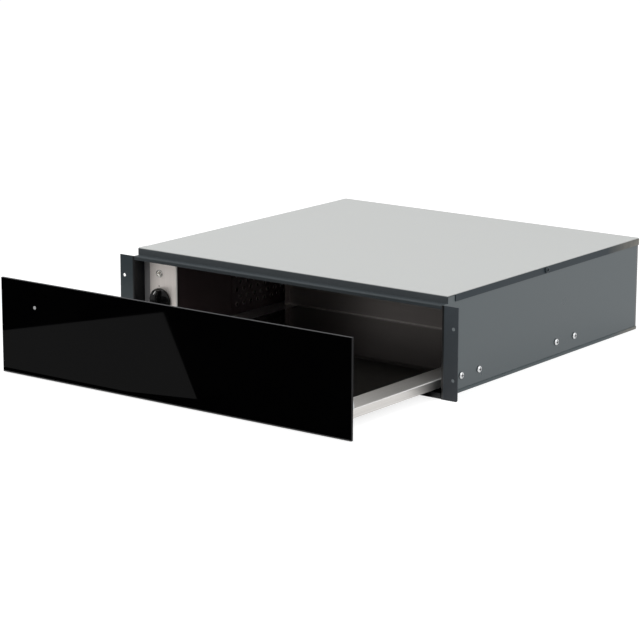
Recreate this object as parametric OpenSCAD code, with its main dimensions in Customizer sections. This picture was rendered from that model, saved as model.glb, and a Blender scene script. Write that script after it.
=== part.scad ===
// Built-in warming drawer, 60 cm wide and 14 cm high, with a handleless push-open glass front.
// X runs to the right, Y to the back and Z up. The origin lies on the underside of the case,
// in the middle of its front plane. The drawer is drawn standing open by drawer_open.

/* [Case] */
// Width over the two side panels
case_w = 536; // [528:1:552]
// Height from the underside to the top of the cover
case_h = 138.6; // [136:0.1:146]
// Depth from the front plane to the rear of the cover
case_d = 517; // [512:1:540]
// Thickness of the case's folded sheet
sheet = 1; // [0.8:0.1:1.2]
// Outer radius of the bends in the case's sheet
bend_r = 2; // [1.3:0.1:2.5]
// Width of the mounting flanges beside the case
flange_w = 25.8; // [20:0.1:30]
// Radius of the flanges' lower outer corners
flange_corner = 3; // [1:0.5:6]
// Distance of the cover's front edge from the front plane
cover_front = 11.4; // [8:0.1:20]
// Depth of the cover's skirts
skirt_h = 10.6; // [8:0.1:14]
// Length of the notch in the cover's side skirts at the front
skirt_notch = 19; // [10:1:30]
// Height of the rail's face above the drawer opening
rail_face = 5.5; // [4:0.1:8]
// Depth of the rail's ledge
rail_depth = 36; // [30:1:45]
// Height of the floor's lips outside the side panels
pan_lip = 5; // [3:0.5:6]
// Height of the floor's front lip
front_lip = 8; // [5:0.5:9]
// Width of the folded flanges that join the panels
fold_w = 12; // [8:1:14]

/* [Mounting holes] */
// Distance of the mounting holes from the flanges' outer edges
mount_edge = 7.6; // [6:0.1:10]
// Distance between the lower and upper mounting holes
mount_pitch_z = 70; // [60:1:80]
// Height of the lower mounting holes
mount_z = 28; // [24:0.5:35]
// Diameter of the mounting holes
mount_d = 5; // [4:0.1:6]

/* [Front] */
// How far the glass reaches past the mounting flanges at each side
glass_reach_x = 3.7; // [2:0.1:6]
// How far the glass reaches above the rail
glass_reach_z = 6.4; // [4:0.1:8]
// Thickness of the glass
glass_t = 4; // [3:0.5:6]
// Height of the glass's lower edge
glass_z = 1.2; // [0.5:0.1:4]
// Thickness of the whole front, up to the case's front plane
front_t = 20; // [16:0.5:24]
// How far the steel backing reaches past the side panels, where the bumpers sit
backing_reach = 9.5; // [8.6:0.1:14]
// Height that the glass stands proud of its backing above and below
glass_overhang_z = 9; // [7:0.5:12]
// Distance of the indicator window from the glass's left edge
window_x = 61.6; // [50:0.1:75]
// Distance of the indicator window from the glass's upper edge
window_drop = 35.2; // [25:0.1:45]
// Diameter of the indicator window
window_d = 5; // [3:0.5:8]
// Thickness of the rubber bumpers
bumper_t = 2.7; // [2:0.1:3]
// Diameter of the rubber bumpers
bumper_d = 8; // [6:0.5:8.5]

/* [Drawer] */
// How far the drawer stands open as drawn
drawer_open = 223.2; // [0:0.1:400]
// Full travel of the drawer
drawer_travel = 400; // [350:1:405]
// Distance of the tray's back panel from the case's back panel when the drawer is shut
rear_gap = 30.8; // [28:0.1:40]
// Height of the tray's floor
tray_z = 23; // [22:0.5:26]
// Depth of the tray's folded side skirts
tray_skirt = 12.5; // [10:0.1:12.5]
// Thickness of the tray's sheet
tray_sheet = 1; // [0.8:0.1:1.2]
// Gap between the tray and the right side panel
tray_gap = 12; // [10:0.5:16]
// Gap between the tray and the partition
partition_gap = 3; // [2.6:0.1:5]
// Width of the steel margin round the glass plate
tray_margin = 35; // [34:0.5:45]
// Thickness of the glass plate in the tray
plate_t = 3.8; // [3:0.1:5]
// Height of the tray's back panel above the floor
back_h = 63; // [50:1:70]
// Distance of the back panel's ends from the tray's edges
back_inset = 16; // [10:1:20]
// Depth of the back panel's side folds
back_fold = 11; // [8:1:15]
// Height of the brackets that carry the front
bracket_h = 76; // [60:1:85]
// Length of the front brackets at the floor
bracket_foot = 48; // [40:1:60]
// Length of the front brackets at the top
bracket_head = 28; // [20:1:35]

/* [Runners] */
// Distance of the runners' rear ends from the case's back panel
runner_end_gap = 41; // [36:1:60]
// Width of the outer members, which lie flat
runner_w = 30; // [28:0.5:31]
// Height of a closed runner
runner_h = 12; // [12:0.1:12.4]
// Thickness of the runner members
runner_t = 1.2; // [1:0.1:1.3]
// Distance of the runners from the front plane, closed
runner_y = 24; // [20:1:26]
// Diameter of the balls
ball_d = 2.4; // [2:0.1:2.6]
// Gap between the members' walls where the balls run
race_gap = 3; // [2.8:0.1:3.2]
// Balls along each side of a cage
ball_count = 5; // [3:1:8]
// Height of the right bracket's wall flange
runner_flange_h = 24; // [20:1:30]
// Height of the screws that hold the right runner bracket
runner_screw_z = 23.5; // [20:0.5:27]

/* [Controls] */
// Clear width of the bay for the controls and the fan, left of the chamber
bay_w = 61; // [60:0.5:70]
// Distance of the fascia from the front plane
fascia_y = 20; // [18:0.5:21]
// Width of the brushed fascia
fascia_w = 50.8; // [46:0.1:52]
// Diameter of the thermostat knob
knob_d = 37; // [32:0.5:40]
// Height of the knob
knob_h = 17.5; // [12:0.5:18]
// Height of the knob's axis
knob_z = 63; // [55:0.5:75]
// Distance of the pilot lamp's axis below the rail
lamp_drop = 25.2; // [20:0.1:32]
// Outer diameter of the lamp's bezel
lamp_d = 11.5; // [9:0.5:14]

/* [Hot air] */
// Diameter of the fan impeller
impeller_d = 72; // [60:1:76]
// Width of the fan impeller
impeller_w = 20; // [14:1:21]
// Number of impeller blades
blade_count = 24; // [16:1:32]
// Distance of the fan's axis from the front plane
fan_y = 392; // [380:1:400]
// Height of the fan's axis
fan_z = 66; // [60:0.5:70]
// Diameter of the holes in the hot-air grille
grille_hole = 6; // [4:0.5:8]
// Spacing of the grille's holes along the case
grille_pitch_y = 16.5; // [14:0.5:18]
// Spacing of the grille's rows
grille_pitch_z = 11; // [9:0.5:12]
// Height of the grille's lowest row
grille_z = 37.5; // [34:0.5:42]
// Distance of the grille's first column from the front plane
grille_y = 158; // [150:1:165]
// Columns of holes in the grille
grille_cols = 8; // [5:1:8]
// Rows of holes in the grille
grille_rows = 6; // [4:1:6]

/* [Hidden] */
$fn = 48;

eps = 0.01;             // overlap of pieces that are joined into one solid
fit = 0.1;              // radial play of a screw in its hole
run = 0.3;              // gap between pieces that pass each other

side_x = case_w / 2;                    // outer face of the side panels
inner_x = side_x - sheet;               // inner face of the side panels
rail_z = case_h - skirt_h;              // top of the rail and the flanges
cover_under = case_h - sheet;           // underside of the cover
web_back = case_d - sheet;              // rear edge of the side panels
back_inner = web_back - sheet;          // inner face of the back panel
flange_x = side_x + flange_w;           // outer edge of the flanges
mount_top_z = mount_z + mount_pitch_z;
mount_x = flange_x - mount_edge;

box_x = -inner_x + bay_w;                       // the partition's face towards the fan
partition_x = box_x + sheet;                    // the partition's face towards the chamber
tray_left = partition_x + partition_gap;
tray_right = inner_x - tray_gap;
tray_w = tray_right - tray_left;
tray_mid = (tray_left + tray_right) / 2;
glass_w = 2 * (flange_x + glass_reach_x);
glass_h = rail_z + glass_reach_z - glass_z;
backing_y = -front_t + glass_t;                 // front face of the backing, closed
backing_rear = -bumper_t - run;                 // rear face of the backing, closed
tray_rear = back_inner - rear_gap;              // rear face of the tray's back panel, closed
tray_under = tray_z - tray_sheet;
recess_z = tray_z - plate_t;                    // bottom of the glass plate

runner_len = back_inner - runner_end_gap - runner_y;
runner_z = tray_under - runner_h;               // underside of the runners
runner_mid_z = runner_z + runner_h / 2;
ball_z = runner_z + runner_h - 5.5;
outer_half = runner_w / 2;
middle_half = outer_half - runner_t - race_gap;
inner_half = middle_half - 1 - race_gap;
middle_wall = 1;                                // wall of the intermediate members
cage_t = 0.5;
cage_len = runner_len - drawer_travel / 2 - 30;  // the balls stay between the members at full travel
left_runner_x = tray_left + tray_margin / 2;
right_runner_x = tray_right - tray_margin / 2;
shelf_t = 1.2;                                  // sheet of the runner brackets

knob_x = partition_x - 30;
lamp_x = knob_x - 1.5;
lamp_z = rail_z - lamp_drop;
fascia_right = partition_x + sheet;
fascia_left = fascia_right - fascia_w;
duct_x = box_x - 30;                            // far side of the heater box
grille_len = (grille_cols - 1) * grille_pitch_y;
grille_height = (grille_rows - 1) * grille_pitch_z;
duct_y0 = grille_y - 12;
duct_y1 = grille_y + grille_len + 14;
duct_z0 = grille_z - 11;
duct_z1 = grille_z + grille_height + 9;

screw_r = 1.9;
screw_head = 9.6;
screw_head_h = 2.6;
front_screw_head = 7;
front_screw_head_h = 2;
case_screw_len = 4;
front_screw_len = 8;
bush_r = 5;                                     // threaded bush of the thermostat
nut_h = 2.2;
nut_across = 14.8;                              // over the clamping nut's corners
spindle_r = 3;
side_screw_ys = [47.5, 91, 290, 339];           // screws of the right runner bracket
left_screw_zs = [34, 96];                       // screws of the fascia bracket

charcoal = [0.27, 0.30, 0.32];
pale_grey = [0.78, 0.79, 0.78];
satin_steel = [0.72, 0.70, 0.67];
zinc = [0.62, 0.64, 0.66];

// ---- shapes used by several pieces ----

// Quarter ring of a bend, from +X round to +Y
module bend2d(r, t) {
    intersection() {
        difference() {
            circle(r = r);
            circle(r = r - t);
        }
        square(r);
    }
}

// Angle profile: one leg along +X, one along +Y, outer corner at the origin
module angle2d(leg_x, leg_y, t, r) {
    translate([r, r]) rotate(180) bend2d(r, t);
    translate([r, 0]) square([leg_x - r, t]);
    translate([0, r]) square([t, leg_y - r]);
}

// Channel profile, open downwards, its top centred on the origin
module channel2d(w, h, t, r) {
    translate([-w / 2 + r, -t]) square([w - 2 * r, t]);
    for (side = [-1, 1]) scale([side, 1]) {
        translate([w / 2 - r, -r]) bend2d(r, t);
        translate([w / 2 - t, -h]) square([t, h - r]);
    }
}

// Extrude a profile drawn in X and Z along Y, from y0 to y1
module along_y(y0, y1) {
    translate([0, y1, 0]) rotate([90, 0, 0]) linear_extrude(y1 - y0) children();
}

// Extrude a profile drawn in Y and Z along X, from x0 to x1
module along_x(x0, x1) {
    translate([x0, 0, 0]) rotate([90, 0, 90]) linear_extrude(x1 - x0) children();
}

// Box between two corners
module block(low, high) {
    translate(low) cube(high - low);
}

// Round hole along X, Y or Z through a sheet
module hole_x(d, y, z) {
    translate([0, y, z]) rotate([0, 90, 0]) cylinder(d = d, h = 2 * flange_x, center = true);
}
module hole_y(d, x, y, z) {
    translate([x, y, z]) rotate([90, 0, 0]) cylinder(d = d, h = 12, center = true);
}

// Slot with round ends, standing along Z, through a sheet that faces Y
module vent_y(x, y, z, len, w) {
    for (end = [-1, 1]) translate([x, y, z + end * (len - w) / 2])
        rotate([90, 0, 0]) cylinder(d = w, h = 12, center = true);
    translate([x - w / 2, y - 6, z - (len - w) / 2]) cube([w, 12, len - w]);
}

// Pan-head screw, its head on z = 0 and its shank pointing down
module pan_screw(len, head_d, head_h) {
    dome = 0.65 * head_d;
    slot = [0.52 * head_d, 0.11 * head_d, head_h];
    difference() {
        rotate_extrude() {
            intersection() {
                translate([0, head_h - dome]) circle(r = dome);
                square([head_d / 2, head_h]);
            }
            translate([0, -len]) square([screw_r, len + eps]);
        }
        for (turn = [0, 90]) rotate(turn)
            translate([-slot.x / 2, -slot.y / 2, head_h / 2]) cube(slot);
    }
}

// ---- case ----

lip_start = 8;                          // where the floor's side lips begin, behind the flanges
slot_pitch = 4.5;
slot_len = 42;
slot_w = 2.4;
slot_count = 9;

// Floor of the case with side lips, a front lip and the fan's inlet slots
module base_pan() {
    color(charcoal) difference() {
        union() {
            block([-inner_x, bend_r, 0], [inner_x, web_back, sheet]);
            for (side = [-1, 1]) translate([side * (side_x + sheet), 0, 0]) scale([-side, 1, 1])
                along_y(lip_start, web_back) angle2d(10, pan_lip, sheet, bend_r);
            along_x(-inner_x, inner_x) angle2d(20, front_lip, sheet, bend_r);
        }
        for (i = [1 : slot_count]) translate([box_x - 6 - slot_pitch * i, fan_y, 0])
            rotate([90, 0, 0]) vent_y(0, 0, 0, slot_len, slot_w);
    }
}

web_top = case_h - bend_r;              // top edge of the webs, clear of the cover's bends

// Side panel: web, mounting flange folded outwards, and a fold inwards on the floor
module side_panel() {
    difference() {
        union() {
            translate([side_x, 0, 0]) linear_extrude(rail_z) flange_plan();
            block([inner_x, bend_r, bend_r], [side_x, web_back, rail_z]);
            block([inner_x, cover_front + sheet, rail_z], [side_x, web_back, web_top]);
            along_y(rail_depth, web_back - fold_w - sheet) translate([side_x, sheet]) scale([-1, 1])
                angle2d(fold_w, 20, sheet, bend_r);
        }
        flange_corner_waste();
        for (z = [mount_z, mount_top_z]) hole_y(mount_d, mount_x, 0, z);
        hole_x(2 * (screw_r + fit), cover_screw_y, cover_screw_z);
    }
}

// Plan of the flange and its bend, the side panel's outer face on x = 0
module flange_plan() {
    translate([bend_r - sheet, bend_r]) rotate(180) bend2d(bend_r, sheet);
    translate([bend_r - sheet, 0]) square([flange_w - bend_r + sheet, sheet]);
}

// What is cut away outside the rounded lower corner of a flange
module flange_corner_waste() {
    translate([flange_x - flange_corner, 0, flange_corner]) difference() {
        block([0, -1, -flange_corner - 1], [flange_corner + 1, sheet + 1, 0]);
        rotate([90, 0, 0]) cylinder(r = flange_corner, h = 6, center = true);
    }
}

module right_side_panel() {
    color(charcoal) difference() {
        side_panel();
        for (y = side_screw_ys) hole_x(2 * (screw_r + fit), y, runner_screw_z);
    }
}

module left_side_panel() {
    color(charcoal) difference() {
        scale([-1, 1, 1]) side_panel();
        for (z = left_screw_zs) hole_x(2 * (screw_r + fit), fascia_y + 14, z);
    }
}

// Back panel between the side panels, folded forwards at its sides and top
module back_panel() {
    color(charcoal) difference() {
        union() {
            block([-inner_x + bend_r, back_inner, sheet], [inner_x - bend_r, web_back, cover_under - bend_r]);
            for (side = [-1, 1]) scale([side, 1, 1]) translate([inner_x, web_back, sheet])
                linear_extrude(web_top - sheet) rotate(180) angle2d(fold_w, fold_w, sheet, bend_r);
            translate([0, web_back, cover_under]) scale([1, -1, -1])
                along_x(-inner_x + fold_w + 4, inner_x - fold_w - 4) angle2d(fold_w, 20, sheet, bend_r);
        }
        hole_y(16 + 2 * fit, gland_x, back_inner, gland_z);
        for (i = [0 : 6]) vent_y(box_x - 10 - 7 * i, back_inner, 84, 44, 3);
        for (x = cover_screw_xs) hole_y(2 * (screw_r + fit), x, back_inner, cover_screw_z);
    }
}

gland_x = box_x - bay_w / 2;
gland_z = 30;
cover_screw_xs = [for (i = [-2 : 2]) i * (case_w - 60) / 4];
cover_screw_y = case_d / 2;             // of the screws in the cover's side skirts
cover_screw_z = case_h - skirt_h / 2;

// Top cover with folded skirts at the front, the sides and the back
module top_cover() {
    cover_x = side_x + sheet;
    color(pale_grey) difference() {
        union() {
            along_y(cover_front + skirt_notch, case_d) translate([0, case_h])
                channel2d(2 * cover_x, skirt_h, sheet, bend_r);
            translate([0, cover_front, case_h]) scale([1, 1, -1])
                along_x(-cover_x, cover_x) angle2d(skirt_notch, skirt_h, sheet, bend_r);
            translate([0, case_d, case_h]) scale([1, -1, -1])
                along_x(-side_x, side_x) angle2d(20, skirt_h, sheet, bend_r);
        }
        for (x = cover_screw_xs) hole_y(2 * (screw_r + fit), x, case_d, cover_screw_z);
        hole_x(2 * (screw_r + fit), cover_screw_y, cover_screw_z);
    }
}

// Rail over the drawer opening: a ledge under the cover with a folded face
module front_top_rail() {
    color(charcoal) {
        translate([0, 0, rail_z]) scale([1, 1, -1])
            along_x(-inner_x, inner_x) angle2d(rail_depth, rail_face, sheet, bend_r);
    }
}

// Partition between the warm chamber and the controls
module partition() {
    top = rail_z - sheet;
    color(charcoal) difference() {
        union() {
            block([box_x, fascia_y + 2, sheet], [partition_x, back_inner, top]);
            along_y(fascia_y + 16, back_inner) translate([partition_x, sheet]) scale([-1, 1])
                angle2d(fold_w, 20, sheet, bend_r);
            along_y(fascia_y + 30, back_inner) translate([partition_x, top]) scale([-1, -1])
                angle2d(fold_w, 20, sheet, bend_r);
        }
        block([box_x - 1, duct_y0 + 7, duct_z0 + 6], [partition_x + 1, duct_y1 - 7, duct_z1 - 6]);
        for (ring = [0 : 2]) for (i = [0 : 7 + 6 * ring]) {
            turn = 360 * i / (8 + 6 * ring);
            reach = 9 + 9 * ring;
            hole_at_partition(5, fan_y + reach * cos(turn), fan_z + reach * sin(turn));
        }
        hole_at_partition(5, fan_y, fan_z);
        for (y = left_rivet_ys) hole_at_partition(2 * (1.5 + fit), y, rivet_z);
    }
}

rivet_z = runner_z + 7;
rivet_in = 12;
left_rivet_ys = [for (i = [0 : 3]) runner_y + rivet_in + i * (runner_len - 2 * rivet_in) / 3];

module hole_at_partition(d, y, z) {
    translate([box_x - 2, y, z]) rotate([0, 90, 0]) cylinder(d = d, h = sheet + 4);
}

// Perforated plate that covers the partition's outlet, on the chamber side
module hot_air_grille() {
    color([0.33, 0.31, 0.31]) difference() {
        block([partition_x, duct_y0, duct_z0], [partition_x + 0.8, duct_y1, duct_z1]);
        for (row = [0 : grille_rows - 1]) for (col = [0 : grille_cols - 1]) {
            shift = row % 2 == 0 ? 0 : grille_pitch_y / 2;
            if (col * grille_pitch_y + shift <= grille_len)
                translate([partition_x - 1, grille_y + col * grille_pitch_y + shift,
                           grille_z + row * grille_pitch_z])
                    rotate([0, 90, 0]) cylinder(d = grille_hole, h = 3);
        }
    }
}

ceiling_z = rail_z - rail_face - 5.5;           // underside of the chamber's ceiling

// Ceiling of the warm chamber, a shallow pan with its folds turned up
module chamber_ceiling() {
    color(zinc) {
        along_y(rail_depth + 1, back_inner - fold_w - 1)
            translate([(partition_x + inner_x) / 2, ceiling_z])
                scale([1, -1]) channel2d(inner_x - partition_x, 8, sheet, bend_r);
        translate([0, back_inner, ceiling_z]) scale([1, -1, 1])
            along_x(partition_x + bend_r, inner_x - bend_r) angle2d(fold_w + 1, 8, sheet, bend_r);
    }
}

module insulation_mat() {
    color([0.86, 0.83, 0.72])
        block([partition_x + 3, rail_depth + 4, ceiling_z + sheet],
              [inner_x - 3, back_inner - fold_w - 4, cover_under - run]);
}

// ---- controls ----

fascia_fold_in = 18;                            // the fold stops short of the fascia's ends

fascia_low = sheet + 0.5;
fascia_top = rail_z - sheet;
fascia_edge = 3.4;                              // depth of the fascia's right edge, bent round the partition
fascia_edge_z = tray_z + 4;                     // the bent edge starts above the runner's bracket

// Brushed fascia: its right edge is bent round the partition, two folds stiffen it behind
module control_fascia() {
    color(satin_steel) difference() {
        union() {
            block([fascia_left, fascia_y, fascia_low],
                  [fascia_right - bend_r, fascia_y + sheet, fascia_edge_z]);
            translate([fascia_right, fascia_y, fascia_edge_z]) scale([-1, 1, 1])
                linear_extrude(fascia_top - fascia_edge_z) angle2d(fascia_w, fascia_edge, sheet, bend_r);
            block([fascia_left, fascia_y, fascia_low], [fascia_left + sheet, fascia_y + fold_w - 4, fascia_top]);
            block([box_x - sheet, fascia_y, fascia_fold_in], [box_x, fascia_y + fold_w, rail_z - fascia_fold_in]);
        }
        hole_y(2 * (bush_r + fit), knob_x, fascia_y, knob_z);
        hole_y(lamp_d - 1.8, lamp_x, fascia_y, lamp_z);
    }
}

// Bracket between the fascia and the left side panel
module fascia_bracket() {
    color([0.33, 0.32, 0.33]) difference() {
        translate([-inner_x, fascia_y + sheet, 3]) linear_extrude(rail_z - sheet - 6)
            angle2d(fascia_left + inner_x, 30, sheet, bend_r);
        for (z = left_screw_zs) translate([-inner_x, fascia_y + 14, z]) rotate([0, 90, 0])
            cylinder(r = screw_r + fit, h = 6, center = true);
    }
}

// Chromed holder of the pilot lamp: bezel, barrel and socket
module pilot_lamp_holder() {
    bezel = lamp_d / 2;
    rim = 0.8;
    color([0.85, 0.85, 0.86]) translate([lamp_x, fascia_y, lamp_z]) rotate([-90, 0, 0])
        rotate_extrude() difference() {
            union() {
                translate([0, -rim]) square([bezel, rim]);
                translate([0, -2 * rim]) square([bezel - rim, 2 * rim]);
                translate([bezel - rim, -rim]) intersection() {
                    circle(r = rim);
                    translate([0, -rim]) square(rim);
                }
                square([bezel - 1, 24]);
            }
            translate([-1, -3]) square([bezel - 1.9 + 1, 9]);
        }
}

module pilot_lens() {
    r = lamp_d / 2 - 2;
    color([1, 0.95, 0.85]) translate([lamp_x, fascia_y, lamp_z]) rotate([-90, 0, 0])
        rotate_extrude() {
            intersection() {
                translate([0, 0.43 * r]) circle(r = 1.12 * r);
                translate([0, -r]) square(r);
            }
            square([r, 5.8]);
        }
}

// Capillary thermostat behind the fascia
module thermostat_body() {
    color([0.75, 0.74, 0.7]) translate([knob_x, fascia_y + sheet, knob_z]) rotate([-90, 0, 0])
        difference() {
            union() {
                linear_extrude(8) stadium2d(34, 40);
                translate([-15, -17, 7]) cube([30, 34, 19]);
                translate([0, 0, -sheet - nut_h]) cylinder(r = bush_r, h = 4 + sheet + nut_h);
                for (side = [-1, 0, 1]) translate([9 * side - 3.15, -21, 18]) cube([6.3, 6, 0.8]);
                translate([0, 0, 25]) cylinder(r = 11, h = 6);
            }
            translate([0, 0, -sheet - nut_h - 1]) cylinder(r = spindle_r + 0.08, h = 20);
        }
}

module stadium2d(w, h) {
    intersection() {
        square([w, h], center = true);
        circle(d = h * 1.08);
    }
}

// Hexagon nut that clamps the thermostat to the fascia
module thermostat_nut() {
    color(zinc) translate([knob_x, fascia_y, knob_z]) rotate([90, 0, 0]) difference() {
        cylinder(d = nut_across, h = nut_h, $fn = 6);
        translate([0, 0, -1]) cylinder(r = bush_r + fit, h = 5);
    }
}

// Sensor bulb with its capillary, straight from the thermostat along the partition
module sensor_bulb() {
    bulb_r = 3;
    bulb_len = 56;
    start = fascia_y + sheet + 31;
    bulb_y = duct_y0 - bulb_len - 30;
    color([0.8, 0.55, 0.35]) translate([knob_x + 6, start, knob_z]) rotate([-90, 0, 0])
        rotate_extrude() {
            square([1, bulb_y - start + 4]);
            translate([0, bulb_y - start + 2]) square([bulb_r, bulb_len]);
            translate([0, bulb_y - start + 2 + bulb_len]) intersection() {
                circle(r = bulb_r);
                square(bulb_r);
            }
        }
    color(zinc) for (y = [bulb_y + 14, bulb_y + 44]) bulb_clip(y, bulb_r);
}

// Clip that holds the bulb to the partition
module bulb_clip(y, r) {
    translate([knob_x + 6, y, knob_z]) rotate([90, 0, 0]) linear_extrude(8, center = true) {
        difference() {
            circle(r = r + 0.8);
            circle(r = r - eps);
        }
        translate([3.4, -3.8]) square([box_x - knob_x - 9.4, 0.8]);
        translate([box_x - knob_x - 6.8, -12]) square([0.8, 9]);
    }
}

// ---- runners ----

// Angle that carries the left runner on the partition
module left_runner_bracket() {
    color(zinc) difference() {
        along_y(runner_y, runner_y + runner_len) translate([partition_x, runner_z - shelf_t])
            angle2d(left_runner_x + outer_half - partition_x, tray_z - 0.5 - runner_z + shelf_t,
                    shelf_t, bend_r);
        for (y = left_rivet_ys) translate([partition_x, y, rivet_z]) rotate([0, 90, 0])
            cylinder(r = 1.5 + fit, h = 6, center = true);
    }
}

// Angle that carries the right runner on the side panel
module right_runner_bracket() {
    color(zinc) difference() {
        along_y(runner_y, runner_y + runner_len) translate([inner_x, runner_z - shelf_t])
            scale([-1, 1]) angle2d(inner_x - right_runner_x + outer_half, runner_flange_h,
                                   shelf_t, bend_r);
        for (y = side_screw_ys) translate([inner_x, y, runner_screw_z]) rotate([0, 90, 0])
            cylinder(r = screw_r + fit, h = 6, center = true);
    }
}

// Section of the outer member, lying flat and open upwards
module outer2d() {
    translate([0, 0]) scale([1, -1]) channel2d(runner_w, runner_h - 1.4, runner_t, runner_t + 0.8);
}

module middle2d() {
    translate([0, runner_t + 0.8]) scale([1, -1])
        channel2d(2 * middle_half, runner_h - runner_t - 2.2, middle_wall, middle_wall + 0.8);
}

module inner2d() {
    translate([0, runner_h]) channel2d(2 * inner_half, runner_h - 4.5, runner_t, runner_t + 0.6);
}

// Grooves that the balls run in, cut along a wall
module groove_pair(x) {
    for (side = [-1, 1]) translate([side * x, ball_z - runner_z]) circle(d = ball_d + 1);
}

module runner_member(x, y, len) {
    translate([x, 0, runner_z]) along_y(y, y + len) children();
}

outer_race = outer_half - runner_t - race_gap / 2;
inner_race = middle_half - middle_wall - race_gap / 2;

module runner_outer(x) {
    color(zinc) runner_member(x, runner_y, runner_len) difference() {
        outer2d();
        groove_pair(outer_race);
    }
}

module runner_middle(x) {
    color(zinc) runner_member(x, runner_y - drawer_open / 2, runner_len) difference() {
        middle2d();
        groove_pair(outer_race);
        groove_pair(inner_race);
    }
}

module runner_inner(x) {
    color(zinc) runner_member(x, runner_y - drawer_open, runner_len) difference() {
        inner2d();
        groove_pair(inner_race);
    }
}

// Cage: a thin channel between two members, carrying balls along both sides
module ball_cage(x, race, floor_z, share) {
    y0 = runner_y + (runner_len - cage_len) / 2 - drawer_open * share;
    step = cage_len / ball_count;
    color([0.75, 0.75, 0.72]) translate([x, 0, runner_z]) {
        along_y(y0, y0 + cage_len) for (side = [-1, 1]) scale([side, 1]) {
            translate([-eps, floor_z]) square([race + cage_t / 2 + eps, cage_t]);
            translate([race - cage_t / 2, floor_z]) square([cage_t, ball_z - runner_z - floor_z]);
        }
        for (side = [-1, 1]) for (i = [0 : ball_count - 1])
            translate([side * race, y0 + step * (i + 0.5), ball_z - runner_z]) sphere(d = ball_d);
    }
}

lower_floor = runner_t + 0.15;                      // cage between outer and middle member
upper_floor = runner_t + 0.8 + middle_wall + 0.4;   // cage between middle and inner member

module left_runner_outer() runner_outer(left_runner_x);
module right_runner_outer() runner_outer(right_runner_x);
module left_runner_middle() runner_middle(left_runner_x);
module right_runner_middle() runner_middle(right_runner_x);
module left_runner_inner() runner_inner(left_runner_x);
module right_runner_inner() runner_inner(right_runner_x);
module left_lower_cage() ball_cage(left_runner_x, outer_race, lower_floor, 0.25);
module right_lower_cage() ball_cage(right_runner_x, outer_race, lower_floor, 0.25);
module left_upper_cage() ball_cage(left_runner_x, inner_race, upper_floor, 0.75);
module right_upper_cage() ball_cage(right_runner_x, inner_race, upper_floor, 0.75);

// ---- hot air ----

// Duct behind the grille, open to the grille and to the fan
module heater_box() {
    wall = 0.8;
    color(zinc) difference() {
        block([duct_x, duct_y0, duct_z0], [box_x, duct_y1, duct_z1]);
        block([duct_x + wall, duct_y0 + wall, duct_z0 + wall], [box_x + 1, duct_y1 - wall, duct_z1 - wall]);
        block([duct_x + wall, duct_y1 - 2, fan_throat_z0], [box_x + 1, duct_y1 + 2, fan_throat_z1]);
        for (z = element_zs) translate([element_x, duct_y1, z]) rotate([90, 0, 0])
            cylinder(r = element_r + 0.4, h = 3 * element_r, center = true);
    }
}

housing_r = impeller_d / 2 + 6;
fan_throat_z0 = fan_z + 4;
fan_throat_z1 = fan_z + housing_r;
element_x = (duct_x + box_x) / 2;
element_r = 3.2;
element_bend = 9;
element_tail = 16;                              // how far its ends stand out of the box
element_inset = 26;
element_pin = 6;                                // length of its terminal pins
element_pin_r = 1.2;
element_zs = [fan_throat_z0 - 4 * element_bend, fan_throat_z0 - 2 * element_bend];

// Tubular element bent into two hairpins
module heater_element() {
    y_start = duct_y1 + element_tail;
    y_turn = duct_y0 + element_inset;
    color([0.35, 0.33, 0.32]) translate([element_x, 0, 0]) {
        for (z = element_zs) translate([0, y_start, z]) rotate([90, 0, 0])
            cylinder(r = element_r, h = y_start - y_turn);
        translate([0, y_turn, (element_zs[0] + element_zs[1]) / 2]) rotate([0, 90, 0])
            rotate([0, 0, 180]) rotate_extrude(angle = 180) translate([element_bend, 0]) circle(r = element_r);
        for (z = element_zs) translate([0, y_start + element_pin, z]) rotate([90, 0, 0])
            cylinder(r = element_pin_r, h = element_pin + 4);
    }
}

// Bimetal cut-out on the far wall of the heater box
module thermal_cutout() {
    color([0.2, 0.2, 0.2]) translate([duct_x, duct_y1 - 40, duct_z1 - 24]) rotate([0, -90, 0]) {
        cylinder(r = 11, h = 1.2);
        cylinder(r = 8, h = 9);
        for (side = [-1, 1]) translate([-3.15, side * 5 - 0.4, 8]) cube([6.3, 0.8, 9]);
    }
}

// Outline of the fan housing: a round chamber with a throat towards the heater box
module housing2d(grow) {
    circle(r = housing_r + grow);
    translate([duct_y1 - fan_y, fan_throat_z0 - fan_z - grow])
        square([fan_y - duct_y1, fan_throat_z1 - fan_throat_z0 + 2 * grow]);
}

module fan_housing() {
    wall = 1;
    color(zinc) difference() {
        translate([0, fan_y, fan_z]) along_x(duct_x, box_x) intersection() {
            housing2d(0);
            translate([duct_y1 - fan_y, -2 * housing_r]) square(4 * housing_r);
        }
        translate([0, fan_y, fan_z]) along_x(duct_x + wall, box_x + 1) housing2d(-wall);
        translate([0, fan_y, fan_z]) along_x(duct_x - 1, duct_x + 2) circle(r = 7);
    }
}

// Shaded-pole motor: laminated frame, coil and end bridges
module fan_motor() {
    stack_x = duct_x - 19;
    color([0.5, 0.5, 0.52]) difference() {
        union() {
            translate([0, fan_y, fan_z]) along_x(stack_x, stack_x + 14) motor_frame2d();
            translate([0, fan_y, fan_z]) along_x(stack_x + 14, duct_x) bridge2d();
            translate([0, fan_y, fan_z]) along_x(stack_x - 3, stack_x) bridge2d();
        }
        translate([0, fan_y, fan_z]) along_x(stack_x - 5, duct_x + 2) circle(r = 2 + 0.06);
    }
    color([0.55, 0.3, 0.16]) translate([0, fan_y, fan_z - 31])
        along_x(stack_x - 3, stack_x + 17) square([26, 17], center = true);
}

module motor_frame2d() {
    difference() {
        translate([-24, -36]) square([48, 54]);
        circle(r = 13.3);
        translate([-13, -40.5]) square([26, 19]);
    }
    circle(r = 12.9);
    translate([-14, -3]) square([28, 6]);
}

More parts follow.
